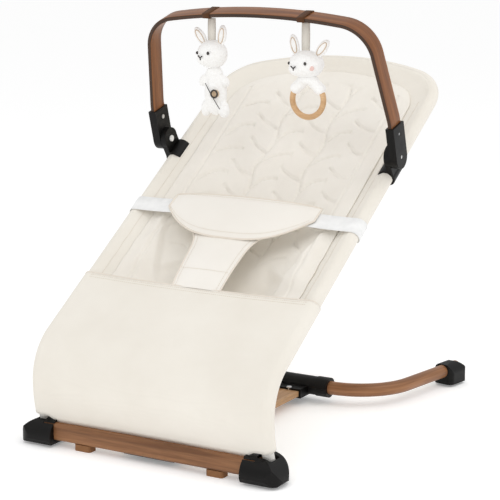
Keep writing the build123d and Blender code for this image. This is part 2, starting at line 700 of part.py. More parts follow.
def strap(side):
    """Flat webbing from the bib's wing over the sleeved tube and back under the seat."""
    mid = STRAP_LIFT + STRAP_THICK / 2
    half = STRAP_THICK / 2
    tail = (side * TAIL_END_X, -mid - TAIL_DROP)
    with BuildPart() as web:
        with BuildSketch(across_slope(STRAP_S + STRAP_WIDTH / 2)):
            with BuildLine():
                Line((side * (BELT_X + 0.5), mid), (side * TUBE_X, mid))
                ThreePointArc(
                    (side * TUBE_X, mid), (side * (TUBE_X + mid), 0), (side * TUBE_X, -mid)
                )
                Line((side * TUBE_X, -mid), tail)
            trace(line_width=2 * half)
        extrude(amount=STRAP_WIDTH)
    return web.part


SLIDER_X = 142.0


def strap_slider(side):
    """Flat plastic slider on the strap's tail, behind the sling."""
    slope = atan2(TAIL_DROP, TUBE_X - TAIL_END_X)
    mid = STRAP_LIFT + STRAP_THICK / 2
    lift = -mid - TAIL_DROP * (TUBE_X - SLIDER_X) / (TUBE_X - TAIL_END_X)
    with BuildPart() as slider:
        with BuildSketch(across_slope(STRAP_S + STRAP_WIDTH / 2 + 4)):
            with Locations(Location((side * SLIDER_X, lift), side * degrees(slope))):
                RectangleRounded(14, 5.2, 1.2)
        extrude(amount=STRAP_WIDTH + 8)
        with BuildSketch(across_slope(STRAP_S + STRAP_WIDTH / 2 + 0.7)):
            with Locations(Location((side * SLIDER_X, lift), side * degrees(slope))):
                Rectangle(20, STRAP_THICK + 1.0)
        extrude(amount=STRAP_WIDTH + 1.4, mode=Mode.SUBTRACT)
    return slider.part


for side in (-1, 1):
    save(strap(side), side_name("strap", side))
    save(strap_slider(side), side_name("strap_slider", side))

# ---- toy bar: clips on the seat tubes, sockets, pins and the strip ----
PIVOT = toy_point(0, TOY_PIVOT_H)
CLIP_S = (PIVOT - seat_point(0, 0)).dot(Vector(0, rake_run, rake_rise))
CLIP_LIFT = (PIVOT - seat_point(0, 0)).dot(Vector(0, -rake_rise, rake_run))


def clip(side):
    """C clip that snaps over the sleeved tube, with an arm up to the knuckle disc."""
    tube_x = side * TUBE_X
    disc_x = side * (DISC_IN_X + DISC_OUT_X) / 2
    disc_thick = DISC_OUT_X - DISC_IN_X
    with BuildPart() as shape:
        with BuildSketch(across_slope(CLIP_S + CLIP_LENGTH / 2)):
            with Locations((tube_x, 0)):
                Circle(CLIP_R)
            with Locations((disc_x, (CLIP_LIFT + 4) / 2)):
                Rectangle(disc_thick, CLIP_LIFT - 4)
        extrude(amount=CLIP_LENGTH)
        with BuildSketch(Plane(origin=(disc_x - disc_thick / 2, PIVOT.Y, PIVOT.Z), z_dir=(1, 0, 0))):
            Circle(DISC_R)
        extrude(amount=disc_thick)
        socket_side = DISC_OUT_X + 9
        with Locations((side * (socket_side + 0.2), PIVOT.Y, PIVOT.Z)):
            Cylinder(SOCKET_R + 0.7, 18, rotation=(0, 90, 0), mode=Mode.SUBTRACT)
        with BuildSketch(across_slope(CLIP_S + CLIP_LENGTH)):
            with Locations((tube_x, 0)):
                Circle(SLEEVE_R + 0.1)
            # mouth on the inside and underneath, where the sling leaves the tube
            with Locations((tube_x - side * (CLIP_R / 2 + 3), -CLIP_R / 2)):
                Rectangle(CLIP_R, CLIP_R + 4)
        extrude(amount=2 * CLIP_LENGTH, mode=Mode.SUBTRACT)
        with Locations((disc_x, PIVOT.Y, PIVOT.Z)):
            Cylinder(PIN_R + PIN_GAP, 40, rotation=(0, 90, 0), mode=Mode.SUBTRACT)
    return shape.part


def leg_plane(x, forward=0.0):
    lean = radians(TOY_TILT)
    return Plane(origin=toy_point(x, 0, forward), x_dir=(0, cos(lean), sin(lean)), z_dir=(1, 0, 0))


def socket(side):
    """Moulded end of the toy bar: a round knuckle below, a pocket for the strip above."""
    low = SOCKET_IN_X if side > 0 else -SOCKET_OUT_X
    thick = SOCKET_OUT_X - SOCKET_IN_X
    with BuildPart() as shape:
        with BuildSketch(leg_plane(low)):
            with Locations((0, TOY_PIVOT_H)):
                Circle(SOCKET_R)
            with Locations((0, (TOY_PIVOT_H + SOCKET_TOP_H) / 2)):
                Rectangle(2 * SOCKET_R, SOCKET_TOP_H - TOY_PIVOT_H)
        extrude(amount=thick)
        with BuildSketch(leg_plane(side * TOY_LEG_X - TOY_STRIP / 2 - 0.1)):
            with Locations((0, 20)):
                Rectangle(TOY_WIDTH + 0.2, 2 * (20 + 0.2))
        extrude(amount=TOY_STRIP + 0.2, mode=Mode.SUBTRACT)
        with BuildSketch(leg_plane(low - 1)):
            with Locations((0, TOY_PIVOT_H)):
                Circle(PIN_R)
            with Locations((0, 13)):
                Circle(2.1)
        extrude(amount=thick + 2, mode=Mode.SUBTRACT)
    return shape.part


def pivot_pin(side):
    """Pin with a capped head on the inside face of the disc."""
    head_x = DISC_IN_X - 2.2
    low = head_x if side > 0 else -SOCKET_OUT_X + 1
    with BuildPart() as pin:
        with BuildSketch(Plane(origin=(low, PIVOT.Y, PIVOT.Z), z_dir=(1, 0, 0))):
            Circle(PIN_R)
        extrude(amount=SOCKET_OUT_X - 1 - head_x)
        with BuildSketch(Plane(origin=(side * (head_x + 1), PIVOT.Y, PIVOT.Z), z_dir=(1, 0, 0))):
            Circle(4.6)
        extrude(amount=1, both=True)
    return pin.part


def socket_rivet(side):
    with BuildPart() as rivet:
        with BuildSketch(leg_plane(side * TOY_LEG_X)):
            with Locations((0, 13)):
                Circle(2.0)
        extrude(amount=(SOCKET_OUT_X - SOCKET_IN_X) / 2 - 0.2, both=True)
        with BuildSketch(leg_plane(side * (SOCKET_IN_X - 0.7))):
            with Locations((0, 13)):
                Circle(3.2)
        extrude(amount=0.6, both=True)
    return rivet.part


def toy_path():
    """Centre line of the strip, up the right leg, over the crown and down the left."""
    lean = radians(TOY_LEG_LEAN)
    crown = radians(TOY_CROWN_ANGLE)
    bend_x = TOY_LEG_X - TOY_LEAN_R * (1 - cos(lean))
    bend_h = TOY_BEND_H + TOY_LEAN_R * sin(lean)
    leg_x = bend_x - TOY_LEG_RUN * sin(lean)
    leg_h = bend_h + TOY_LEG_RUN * cos(lean)
    corner_x = leg_x - TOY_CORNER_R * (cos(lean) - sin(crown))
    corner_h = leg_h + TOY_CORNER_R * (cos(crown) - sin(lean))
    crown_r = corner_x / sin(crown)
    turn = 90 - TOY_LEG_LEAN - TOY_CROWN_ANGLE
    with BuildLine(TOY) as path:
        Line((TOY_LEG_X, 0.2), (TOY_LEG_X, TOY_BEND_H))
        JernArc((TOY_LEG_X, TOY_BEND_H), (0, 1), TOY_LEAN_R, TOY_LEG_LEAN)
        Line((bend_x, bend_h), (leg_x, leg_h))
        JernArc((leg_x, leg_h), (-sin(lean), cos(lean)), TOY_CORNER_R, turn)
        crown_h = corner_h + crown_r * (1 - cos(crown))
        ThreePointArc((corner_x, corner_h), (0, crown_h), (-corner_x, corner_h))
        JernArc((-corner_x, corner_h), (-cos(crown), -sin(crown)), TOY_CORNER_R, turn)
        Line((-leg_x, leg_h), (-bend_x, bend_h))
        JernArc((-bend_x, bend_h), (-sin(lean), -cos(lean)), TOY_LEAN_R, TOY_LEG_LEAN)
        Line((-TOY_LEG_X, TOY_BEND_H), (-TOY_LEG_X, 0.2))
    return path.wires()[0], crown_h, crown_r


strip_path, CROWN_H, CROWN_R = toy_path()
with BuildPart() as toy_bar:
    with BuildSketch(Plane(origin=strip_path @ 0, x_dir=(1, 0, 0), z_dir=strip_path % 0)):
        RectangleRounded(TOY_STRIP, TOY_WIDTH, 1.8)
    sweep(path=strip_path)
    with BuildSketch(leg_plane(-TOY_LEG_X - 20)):
        with Locations((0, 13)):
            Circle(2.1)
    extrude(amount=2 * TOY_LEG_X + 40, mode=Mode.SUBTRACT)
save(toy_bar.part, "toy_bar")

for side in (-1, 1):
    save(clip(side), side_name("clip", side))
    save(socket(side), side_name("socket", side))
    save(pivot_pin(side), side_name("pivot_pin", side))
save(Compound(children=[socket_rivet(-1), socket_rivet(1)]), "socket_rivets")


# ---- toys: ribbon loops round the strip, and what hangs from them ----
def crown_height(x):
    """Height of the strip's centre line over x, in the toy bar's plane."""
    return CROWN_H - CROWN_R + sqrt(CROWN_R**2 - x**2)


LOOP_ROOM = 0.9
LOOP_THICK = 1.2


def ribbon_loop(x):
    """Ribbon stitched in a flat loop round the strip."""
    outer_h = TOY_STRIP + 2 * (LOOP_ROOM + LOOP_THICK)
    outer_w = TOY_WIDTH + 2 * (LOOP_ROOM + LOOP_THICK)
    with BuildPart() as loop:
        with BuildSketch(leg_plane(x - RIBBON / 2)):
            with Locations((0, crown_height(x))):
                Rectangle(outer_w, outer_h)
                Rectangle(outer_w - 2 * LOOP_THICK, outer_h - 2 * LOOP_THICK, mode=Mode.SUBTRACT)
        extrude(amount=RIBBON)
    return loop.part


def hang_point(x):
    """Middle of the loop's underside, where the toy's ribbon hangs from."""
    return toy_point(x, crown_height(x) - TOY_STRIP / 2 - LOOP_ROOM - LOOP_THICK)


def ribbon(x, length):
    """Doubled ribbon hanging from the loop, with room to swing."""
    top = hang_point(x) - Vector(0, 0, 3)
    with BuildPart() as band:
        with Locations(top - Vector(0, 0, length / 2)):
            Box(RIBBON, 2.4, length)
        fillet(band.edges().filter_by(Axis.X), 0.8)
    return band.part


def egg(x, drop, size):
    """Ellipsoid of the given width, depth and height, under the toy's hang point."""
    with BuildPart() as ball:
        Sphere(0.5)
        scale(by=size)
    return ball.part.moved(Location((x, TOY_HANG.Y, TOY_HANG.Z - drop)))


def rabbit_ear(x, drop, lean, head):
    """Flat upright ear, cut to sit on the head."""
    ear = egg(0, 0, (13, 7, 30))
    base = Location((x, TOY_HANG.Y, TOY_HANG.Z - drop))
    ear = ear.moved(Location((0, -TOY_HANG.Y, -TOY_HANG.Z)))
    ear = ear.moved(base * Location((0, 0, 0), (0, lean, 0)) * Location((0, 0, 11)))
    return ear - head


save(ribbon_loop(TOY_LEFT_X), "ribbon_loop_left")
save(ribbon_loop(TOY_RIGHT_X), "ribbon_loop_right")

TOY_HANG = hang_point(TOY_LEFT_X) - Vector(0, 0, SWING_GAP)

# left rabbit: head, ears, body and a wooden button on its chest
LEFT_HEAD = egg(TOY_LEFT_X + 1, 54, (46, 38, 42))
save(ribbon(TOY_LEFT_X, 36) - LEFT_HEAD, "ribbon_left")
save(LEFT_HEAD, "rabbit_left_head")
left_ears = [
    rabbit_ear(TOY_LEFT_X - 13, 38, -38, LEFT_HEAD),
    rabbit_ear(TOY_LEFT_X + 14, 38, 10, LEFT_HEAD),
]
save(Compound(children=left_ears), "rabbit_left_ears")

with BuildPart() as left_body:
    add(egg(TOY_LEFT_X + 6, 108, (36, 30, 68)))
    add(egg(TOY_LEFT_X - 7, 131, (17, 16, 24)))
    add(egg(TOY_LEFT_X + 20, 132, (17, 16, 24)))
    add(egg(TOY_LEFT_X - 11, 91, (16, 14, 16)))
    add(egg(TOY_LEFT_X + 20, 91, (14, 14, 16)))
    add(LEFT_HEAD, mode=Mode.SUBTRACT)
save(left_body.part, "rabbit_left_body")

BUTTON_R = 5.6
with BuildPart() as button:
    button_at = (TOY_LEFT_X + 14, TOY_HANG.Y - 17.5, TOY_HANG.Z - 109)
    with BuildSketch(Plane(origin=button_at, z_dir=(0, 1, 0))):
        Circle(BUTTON_R)
        with GridLocations(2.4, 2.4, 2, 2):
            Circle(0.7, mode=Mode.SUBTRACT)
    extrude(amount=5)
    add(left_body.part, mode=Mode.SUBTRACT)
save(button.part, "rabbit_left_button")

# right rabbit: head, ears and two arms round a wooden ring
RING_R = 24.5               # to the middle of the ring's own section
RING_SECTION_R = 4.1
RING_DROP = 110.5
RIGHT_HEAD = egg(TOY_RIGHT_X + 1.5, 61, (52, 42, 39))
save(ribbon(TOY_RIGHT_X, 44) - RIGHT_HEAD, "ribbon_right")
save(RIGHT_HEAD, "rabbit_right_head")
right_ears = [
    rabbit_ear(TOY_RIGHT_X - 15, 46, -14, RIGHT_HEAD),
    rabbit_ear(TOY_RIGHT_X + 19, 47, 40, RIGHT_HEAD),
]
save(Compound(children=right_ears), "rabbit_right_ears")


ring_frame = Plane(
    origin=(TOY_RIGHT_X + 4, TOY_HANG.Y, TOY_HANG.Z - RING_DROP), x_dir=(1, 0, 0), z_dir=(0, -1, 0)
)


def ring_solid(section_r):
    with BuildPart() as ring:
        section_at = ring_frame.from_local_coords((RING_R, 0, 0))
        with BuildSketch(Plane(origin=section_at, z_dir=(0, 0, 1))):
            Circle(section_r)
        revolve(axis=Axis(ring_frame.origin, ring_frame.z_dir))
    return ring.part


save(ring_solid(RING_SECTION_R), "teether_ring")
ARM_R = 8.0
ARM_START = 38.0            # angle of the arms' lower end, up from the ring's middle
with BuildLine(ring_frame) as arm_line:
    CenterArc((0, 0), RING_R, ARM_START, 180 - 2 * ARM_START)
with BuildPart() as arms:
    add(pipe(arm_line.wires()[0], ARM_R))
    add(egg(TOY_RIGHT_X + 4, 84, (34, 22, 18)))
    add(ring_solid(RING_SECTION_R + 0.3), mode=Mode.SUBTRACT)
    add(RIGHT_HEAD, mode=Mode.SUBTRACT)
save(arms.part, "rabbit_right_arms")
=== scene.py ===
import math

import bmesh
import bpy
import numpy as np
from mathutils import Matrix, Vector, noise


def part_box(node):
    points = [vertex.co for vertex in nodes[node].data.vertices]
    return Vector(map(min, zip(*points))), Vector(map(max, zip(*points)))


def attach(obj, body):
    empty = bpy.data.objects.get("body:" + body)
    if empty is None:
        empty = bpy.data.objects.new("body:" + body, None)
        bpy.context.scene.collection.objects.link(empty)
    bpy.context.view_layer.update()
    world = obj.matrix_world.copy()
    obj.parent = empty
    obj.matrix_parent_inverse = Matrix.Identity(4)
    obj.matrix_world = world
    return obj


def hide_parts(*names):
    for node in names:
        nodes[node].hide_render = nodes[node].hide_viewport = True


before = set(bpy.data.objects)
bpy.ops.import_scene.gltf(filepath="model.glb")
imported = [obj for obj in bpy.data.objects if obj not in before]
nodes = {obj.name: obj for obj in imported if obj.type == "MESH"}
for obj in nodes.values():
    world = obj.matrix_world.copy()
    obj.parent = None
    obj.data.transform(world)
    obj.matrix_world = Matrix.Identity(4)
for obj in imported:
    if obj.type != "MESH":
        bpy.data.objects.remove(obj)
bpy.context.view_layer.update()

# ---- Camera, floor and light ----
# The seat stands on a pale floor in a bright room, seen from its front right corner.
# Two large soft lights and a white surround give the gentle shading that shows the cloth.
VIEW_AZIMUTH = math.radians(30.17)
VIEW_ELEVATION = math.radians(11.57)
VIEW_DISTANCE = 2.505
VIEW_TARGET = Vector((0.0, -0.0148, 0.2426))
back = Vector(
    (
        math.sin(VIEW_AZIMUTH) * math.cos(VIEW_ELEVATION),
        -math.cos(VIEW_AZIMUTH) * math.cos(VIEW_ELEVATION),
        math.sin(VIEW_ELEVATION),
    )
)
camera = bpy.data.objects.new("camera", bpy.data.cameras.new("camera"))
bpy.context.scene.collection.objects.link(camera)
camera.data.lens = 125.5
camera.location = VIEW_TARGET + back * VIEW_DISTANCE
camera.rotation_mode = "QUATERNION"
camera.rotation_quaternion = (-back).to_track_quat("-Z", "Y")
bpy.context.scene.camera = camera
bpy.context.scene.view_settings.view_transform = "Standard"


def add_lamp(name, size, power, place, aim):
    lamp = bpy.data.lights.new(name, "AREA")
    lamp.size = size
    lamp.energy = power
    holder = bpy.data.objects.new(name, lamp)
    holder.location = place
    direction = Vector(aim) - Vector(place)
    holder.rotation_euler = direction.to_track_quat("-Z", "Y").to_euler()
    bpy.context.scene.collection.objects.link(holder)


add_lamp("front_softbox", 1.5, 9.5, (0.1, -1.7, 2.1), (0, 0, 0.25))
add_lamp("right_softbox", 1.8, 10.5, (1.3, 0.2, 2.1), (0, 0, 0.2))
surround = bpy.data.worlds.new("surround")
bpy.context.scene.world = surround
surround.use_nodes = True
surround.node_tree.nodes["Background"].inputs["Color"].default_value = (1.0, 1.0, 1.0, 1)
surround.node_tree.nodes["Background"].inputs["Strength"].default_value = 0.80


def mesh_object(name, points, faces, smooth=True):
    """New mesh object from points in metres, linked and shaded smooth."""
    mesh = bpy.data.meshes.new(name)
    mesh.from_pydata([tuple(p) for p in points], [], [tuple(f) for f in faces])
    mesh.validate()
    mesh.update()
    made = bpy.data.objects.new(name, mesh)
    bpy.context.scene.collection.objects.link(made)
    if smooth:
        mesh.shade_smooth()
    return made


def new_material(name, colour, roughness):
    """Principled material with its plain values, and its tree for further nodes."""
    material = bpy.data.materials.new(name)
    material.use_nodes = True
    shader = material.node_tree.nodes["Principled BSDF"]
    shader.inputs["Base Color"].default_value = (*colour, 1)
    shader.inputs["Roughness"].default_value = roughness
    return material, material.node_tree, shader


floor_material, _, floor_shader = new_material("floor_paint", (0.97, 0.97, 0.97), 0.9)
floor_shader.inputs["Specular IOR Level"].default_value = 0.0
floor_shader.inputs["Emission Color"].default_value = (1, 1, 1, 1)
floor_shader.inputs["Emission Strength"].default_value = 0.20
floor = mesh_object("floor", [(-30, -30, 0), (30, -30, 0), (30, 30, 0), (-30, 30, 0)], [(0, 1, 2, 3)])
floor.data.materials.append(floor_material)


def add_node(tree, kind, **values):
    """Adds a node and sets its properties."""
    node = tree.nodes.new(kind)
    for key, value in values.items():
        setattr(node, key, value)
    return node


def texture_noise(tree, vector, scale, detail=3.0, roughness=0.55):
    node = add_node(tree, "ShaderNodeTexNoise")
    node.inputs["Scale"].default_value = scale
    node.inputs["Detail"].default_value = detail
    node.inputs["Roughness"].default_value = roughness
    tree.links.new(vector, node.inputs["Vector"])
    return node.outputs["Fac"]


def two_colours(tree, factor, low, high, start=0.3, end=0.7):
    ramp = add_node(tree, "ShaderNodeValToRGB")
    ramp.color_ramp.elements[0].position = start
    ramp.color_ramp.elements[0].color = (*low, 1)
    ramp.color_ramp.elements[1].position = end
    ramp.color_ramp.elements[1].color = (*high, 1)
    tree.links.new(factor, ramp.inputs["Fac"])
    return ramp.outputs["Color"]


def add_bump(tree, shader, height, distance, strength=1.0):
    bump = add_node(tree, "ShaderNodeBump")
    bump.inputs["Distance"].default_value = distance
    bump.inputs["Strength"].default_value = strength
    tree.links.new(height, bump.inputs["Height"])
    tree.links.new(bump.outputs["Normal"], shader.inputs["Normal"])


def dress(names, material):
    """Gives CAD nodes their finish."""
    for name in names:
        nodes[name].data.materials.clear()
        nodes[name].data.materials.append(material)


# ---- Wood: front bar, spine board and ring ----
# The bar is walnut-stained beech, 22 by 24 mm, oiled, with its grain along its length.
# The board is thin plywood with a paler face and an orange-brown edge.
def grain_group():
    """Long streaks, fine pores and slow colour change along local X of the vector given."""
    group = bpy.data.node_groups.new("grain", "ShaderNodeTree")
    group.interface.new_socket("Vector", in_out="INPUT", socket_type="NodeSocketVector")
    group.interface.new_socket("Streak", in_out="OUTPUT", socket_type="NodeSocketFloat")
    group.interface.new_socket("Pore", in_out="OUTPUT", socket_type="NodeSocketFloat")
    come = group.nodes.new("NodeGroupInput")
    go = group.nodes.new("NodeGroupOutput")
    long = add_node(group, "ShaderNodeMapping")
    long.inputs["Scale"].default_value = (3.0, 70.0, 70.0)
    group.links.new(come.outputs["Vector"], long.inputs["Vector"])
    streak = texture_noise(group, long.outputs["Vector"], 1.4, 5.0, 0.6)
    fine = add_node(group, "ShaderNodeMapping")
    fine.inputs["Scale"].default_value = (28.0, 620.0, 620.0)
    group.links.new(come.outputs["Vector"], fine.inputs["Vector"])
    pore = texture_noise(group, fine.outputs["Vector"], 1.0, 2.0, 0.5)
    group.links.new(streak, go.inputs["Streak"])
    group.links.new(pore, go.inputs["Pore"])
    return group


GRAIN = grain_group()


def wood(name, dark, light, roughness, vector="Object", turn=(0, 0, 0)):
    material, tree, shader = new_material(name, light, roughness)
    coords = add_node(tree, "ShaderNodeTexCoord")
    mapping = add_node(tree, "ShaderNodeMapping")
    mapping.inputs["Rotation"].default_value = turn
    tree.links.new(coords.outputs[vector], mapping.inputs["Vector"])
    grain = add_node(tree, "ShaderNodeGroup", node_tree=GRAIN)
    tree.links.new(mapping.outputs["Vector"], grain.inputs["Vector"])
    body = two_colours(tree, grain.outputs["Streak"], dark, light, 0.36, 0.62)
    pores = two_colours(tree, grain.outputs["Pore"], (0.72, 0.70, 0.68), (1, 1, 1), 0.3, 0.55)
    mix = add_node(tree, "ShaderNodeMix", data_type="RGBA", blend_type="MULTIPLY")
    mix.inputs["Factor"].default_value = 0.6
    tree.links.new(body, mix.inputs["A"])
    tree.links.new(pores, mix.inputs["B"])
    tree.links.new(mix.outputs["Result"], shader.inputs["Base Color"])
    add_bump(tree, shader, grain.outputs["Pore"], 0.00012, 0.6)
    shader.inputs["Coat Weight"].default_value = 0.12
    shader.inputs["Coat Roughness"].default_value = 0.35
    shader.inputs["Specular IOR Level"].default_value = 0.3
    return material


BAR_WOOD = wood("bar_walnut", (0.150, 0.060, 0.022), (0.300, 0.138, 0.058), 0.5)
dress(["front_bar"], BAR_WOOD)
BOARD_WOOD = wood("board_ply", (0.36, 0.19, 0.085), (0.50, 0.30, 0.155), 0.5, turn=(0, 0, math.pi / 2))
dress(["spine_board"], BOARD_WOOD)
RING_WOOD = wood("ring_beech", (0.58, 0.35, 0.175), (0.72, 0.48, 0.27), 0.5)
dress(["teether_ring"], RING_WOOD)

# ---- Black mouldings: boots, hub, rear caps, clips and sockets ----
# Glass-filled nylon with a fine spark-eroded texture that is satin on the domes.
# Scuffs catch a little more light than the face around them.
def moulded(name, colour, roughness, texture=0.00006):
    material, tree, shader = new_material(name, colour, roughness)
    coords = add_node(tree, "ShaderNodeTexCoord")
    scuff = texture_noise(tree, coords.outputs["Object"], 38.0, 5.0, 0.65)
    light = tuple(min(1.0, c * 1.3 + 0.0025) for c in colour)
    shade = two_colours(tree, scuff, colour, light, 0.45, 0.8)
    tree.links.new(shade, shader.inputs["Base Color"])
    rough = two_colours(tree, scuff, (roughness,) * 3, (roughness + 0.14,) * 3, 0.4, 0.75)
    tree.links.new(rough, shader.inputs["Roughness"])
    speck = texture_noise(tree, coords.outputs["Object"], 1500.0, 2.0)
    add_bump(tree, shader, speck, texture, 0.5)
    shader.inputs["Specular IOR Level"].default_value = 0.2
    return material


BLACK = moulded("black_nylon", (0.0022, 0.0018, 0.0015), 0.40)
dress(["front_foot_left", "front_foot_right", "hub_upper", "hub_lower", "rear_foot_left"], BLACK)
dress(["rear_foot_right", "clip_left", "clip_right", "socket_left", "socket_right"], BLACK)
SOLE = moulded("sole_rubber", (0.02, 0.02, 0.02), 0.75, 0.0001)
dress([f"{end}_foot_pad_{side}" for end in ("front", "rear") for side in ("left", "right")], SOLE)
BAR_PAD = moulded("bar_pad_rubber", (0.24, 0.115, 0.050), 0.7, 0.0001)
dress(["bar_pads"], BAR_PAD)
CAP = moulded("cap_white", (0.80, 0.80, 0.78), 0.3)
dress(["pivot_pin_left", "pivot_pin_right", "strap_slider_left", "strap_slider_right"], CAP)
NYLON = moulded("barrel_nylon", (0.55, 0.55, 0.53), 0.4)
dress(["pivot_barrel_left", "pivot_barrel_right"], NYLON)

# ---- Metal: screws, bracket, joiners and the seat's painted tubes ----
# Zinc-plated screws with turned marks, a powder-coated bracket and powder-coated tubes.
# Only the tubes' ends show, below the cover and inside the boots.
def metal(name, colour, roughness, metallic):
    material, tree, shader = new_material(name, colour, roughness)
    shader.inputs["Metallic"].default_value = metallic
    coords = add_node(tree, "ShaderNodeTexCoord")
    cloudy = texture_noise(tree, coords.outputs["Object"], 120.0, 4.0)
    rough = two_colours(tree, cloudy, (roughness,) * 3, (roughness + 0.18,) * 3)
    tree.links.new(rough, shader.inputs["Roughness"])
    speck = texture_noise(tree, coords.outputs["Object"], 1800.0, 2.0)
    add_bump(tree, shader, speck, 0.00004, 0.5)
    return material


ZINC = metal("zinc", (0.62, 0.62, 0.62), 0.3, 1.0)
dress(["foot_screws", "spine_screws", "hub_screws", "socket_rivets", "snap_buttons"], ZINC)
dress(["tube_joiner_left", "tube_joiner_right"], ZINC)
BRACKET = metal("bracket_black", (0.02, 0.02, 0.02), 0.45, 0.0)
dress(["spine_bracket"], BRACKET)
TUBE_PAINT = metal("tube_paint", (0.72, 0.70, 0.66), 0.35, 0.0)
dress(["seat_tube_left", "seat_tube_right", "seat_hoop"], TUBE_PAINT)


# ---- Rear bow: a steel tube under a wood-grain film ----
# A 20 mm tube bent to a wide U, its middle in the hub and its ends in the rear caps.
# The film's grain runs along the tube, so the piece carries its own length as a map.
def sweep_mesh(name, stations, profile, closed_profile=True, closed_path=False):
    """Skin through stations, each (centre, side, up), with a profile of (side, up) offsets.
    Its map is length along and across, in metres."""
    count = len(profile)
    points, faces, maps = [], [], []
    lengths = [0.0]
    for a, b in zip(stations, stations[1:]):
        lengths.append(lengths[-1] + (b[0] - a[0]).length)
    across = [0.0]
    for i in range(count):
        a, b = profile[i], profile[(i + 1) % count]
        across.append(across[-1] + math.hypot(b[0] - a[0], b[1] - a[1]))
    for centre, side, up in stations:
        points += [centre + side * a + up * b for a, b in profile]
    rows = len(stations) if closed_path else len(stations) - 1
    columns = count if closed_profile else count - 1
    for i in range(rows):
        low, high = i * count, ((i + 1) % len(stations)) * count
        for j in range(columns):
            k = (j + 1) % count
            faces.append((low + j, low + k, high + k, high + j))
            near = lengths[i + 1] if i + 1 < len(lengths) else lengths[-1]
            maps += [(lengths[i], across[j]), (lengths[i], across[j + 1])]
            maps += [(near, across[j + 1]), (near, across[j])]
    if closed_profile and not closed_path:
        faces.append(tuple(range(count - 1, -1, -1)))
        maps += [(0.0, 0.0)] * count
        faces.append(tuple(range((len(stations) - 1) * count, len(stations) * count)))
        maps += [(lengths[-1], 0.0)] * count
    made = mesh_object(name, points, faces)
    layer = made.data.uv_layers.new(name="along")
    for item, value in zip(layer.data, maps):
        item.uv = value
    return made


def turn_outward(piece):
    """Turns every face of a closed mesh outward."""
    bm = bmesh.new()
    bm.from_mesh(piece.data)
    bmesh.ops.recalc_face_normals(bm, faces=bm.faces)
    bm.to_mesh(piece.data)
    bm.free()


def join_all(pieces, name):
    """Joins pieces into the first one and names it."""
    with bpy.context.temp_override(
        active_object=pieces[0], selected_editable_objects=pieces, selected_objects=pieces
    ):
        bpy.ops.object.join()
    pieces[0].name = name
    return pieces[0]


def arc(centre, radius, start, end, steps):
    """Points of an arc in a plane, angles in degrees."""
    found = []
    for i in range(steps + 1):
        angle = math.radians(start + (end - start) * i / steps)
        found.append((centre[0] + radius * math.cos(angle), centre[1] + radius * math.sin(angle)))
    return found


def rounded_box(half_a, half_b, radius, steps):
    """Points round a box with round corners, both half sizes given."""
    found = []
    for a, b, start in ((1, 1, 0), (-1, 1, 90), (-1, -1, 180), (1, -1, 270)):
        corner = (a * (half_a - radius), b * (half_b - radius))
        found += arc(corner, radius, start, start + 90, steps)
    return found


def circle(radius, steps=24):
    return [
        (radius * math.cos(math.tau * i / steps), radius * math.sin(math.tau * i / steps))
        for i in range(steps)
    ]


def flat_stations(outline, place, thick_way):
    """Stations along an outline: place turns its points into space, thick_way is the fixed side."""
    centres = [place(*p) for p in outline]
    found = []
    for i, centre in enumerate(centres):
        ahead = centres[min(i + 1, len(centres) - 1)] - centres[max(i - 1, 0)]
        up = ahead.normalized().cross(thick_way).normalized()
        found.append((centre, thick_way, up))
    return found


HUB_Y = 85.0
HUB_Z = 24.0
BOW_STRAIGHT = 82.0
BOW_BEND = 90.0
BOW_TURN = 80.0
BOW_LEG = 131.0
turn = math.radians(BOW_TURN)
right_half = arc((BOW_STRAIGHT, BOW_BEND), BOW_BEND, -90, -90 + BOW_TURN, 20)
last = right_half[-1]
leg = [
    (last[0] + BOW_LEG * math.cos(turn) * k / 12, last[1] + BOW_LEG * math.sin(turn) * k / 12)
    for k in range(1, 13)
]
right_half += leg
middle = [(x, 0.0) for x in np.linspace(-BOW_STRAIGHT, BOW_STRAIGHT, 20)[1:-1]]
bow_line = [(-x, y) for x, y in reversed(right_half)] + middle + right_half
bow = sweep_mesh(
    "bow_skin",
    flat_stations(
        bow_line,
        lambda x, y: Vector((x, y + HUB_Y, HUB_Z)) / 1000,
        Vector((0, 0, 1)),
    ),
    circle(0.010, 32),
)
FILM_WOOD = wood("bow_film", (0.190, 0.078, 0.030), (0.350, 0.162, 0.070), 0.4, "UV")
bow.data.materials.append(FILM_WOOD)
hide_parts("bow_tube")
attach(bow, "base")

# ---- Toy bar: a bent strip of laminated walnut ----
# Six millimetres of veneers glued over a former, 30 mm wide, lacquered. Its front and back edge faces
# get a near-black copy of the wood, which is painted shade.
# Each end stands in its socket and the crown rises a little in the middle.
TOY_ORIGIN = Vector((0.0, 54.5, 404.0))
TOY_TILT = math.radians(16.2)
TOY_UP = Vector((0, -math.sin(TOY_TILT), math.cos(TOY_TILT)))
TOY_FORWARD = Vector((0, -math.cos(TOY_TILT), -math.sin(TOY_TILT)))
STRIP_THICK = 6.0
STRIP_WIDE = 30.0
TOY_LEG_X = 196.0
TOY_LEAN = 8.2
TOY_BEND_H = 27.0
TOY_LEAN_R = 80.0
TOY_LEG_RUN = 92.6
TOY_CORNER_R = 52.0
TOY_CROWN = 8.2


def toy_place(x, h):
    return (TOY_ORIGIN + Vector((x, 0, 0)) + TOY_UP * h) / 1000


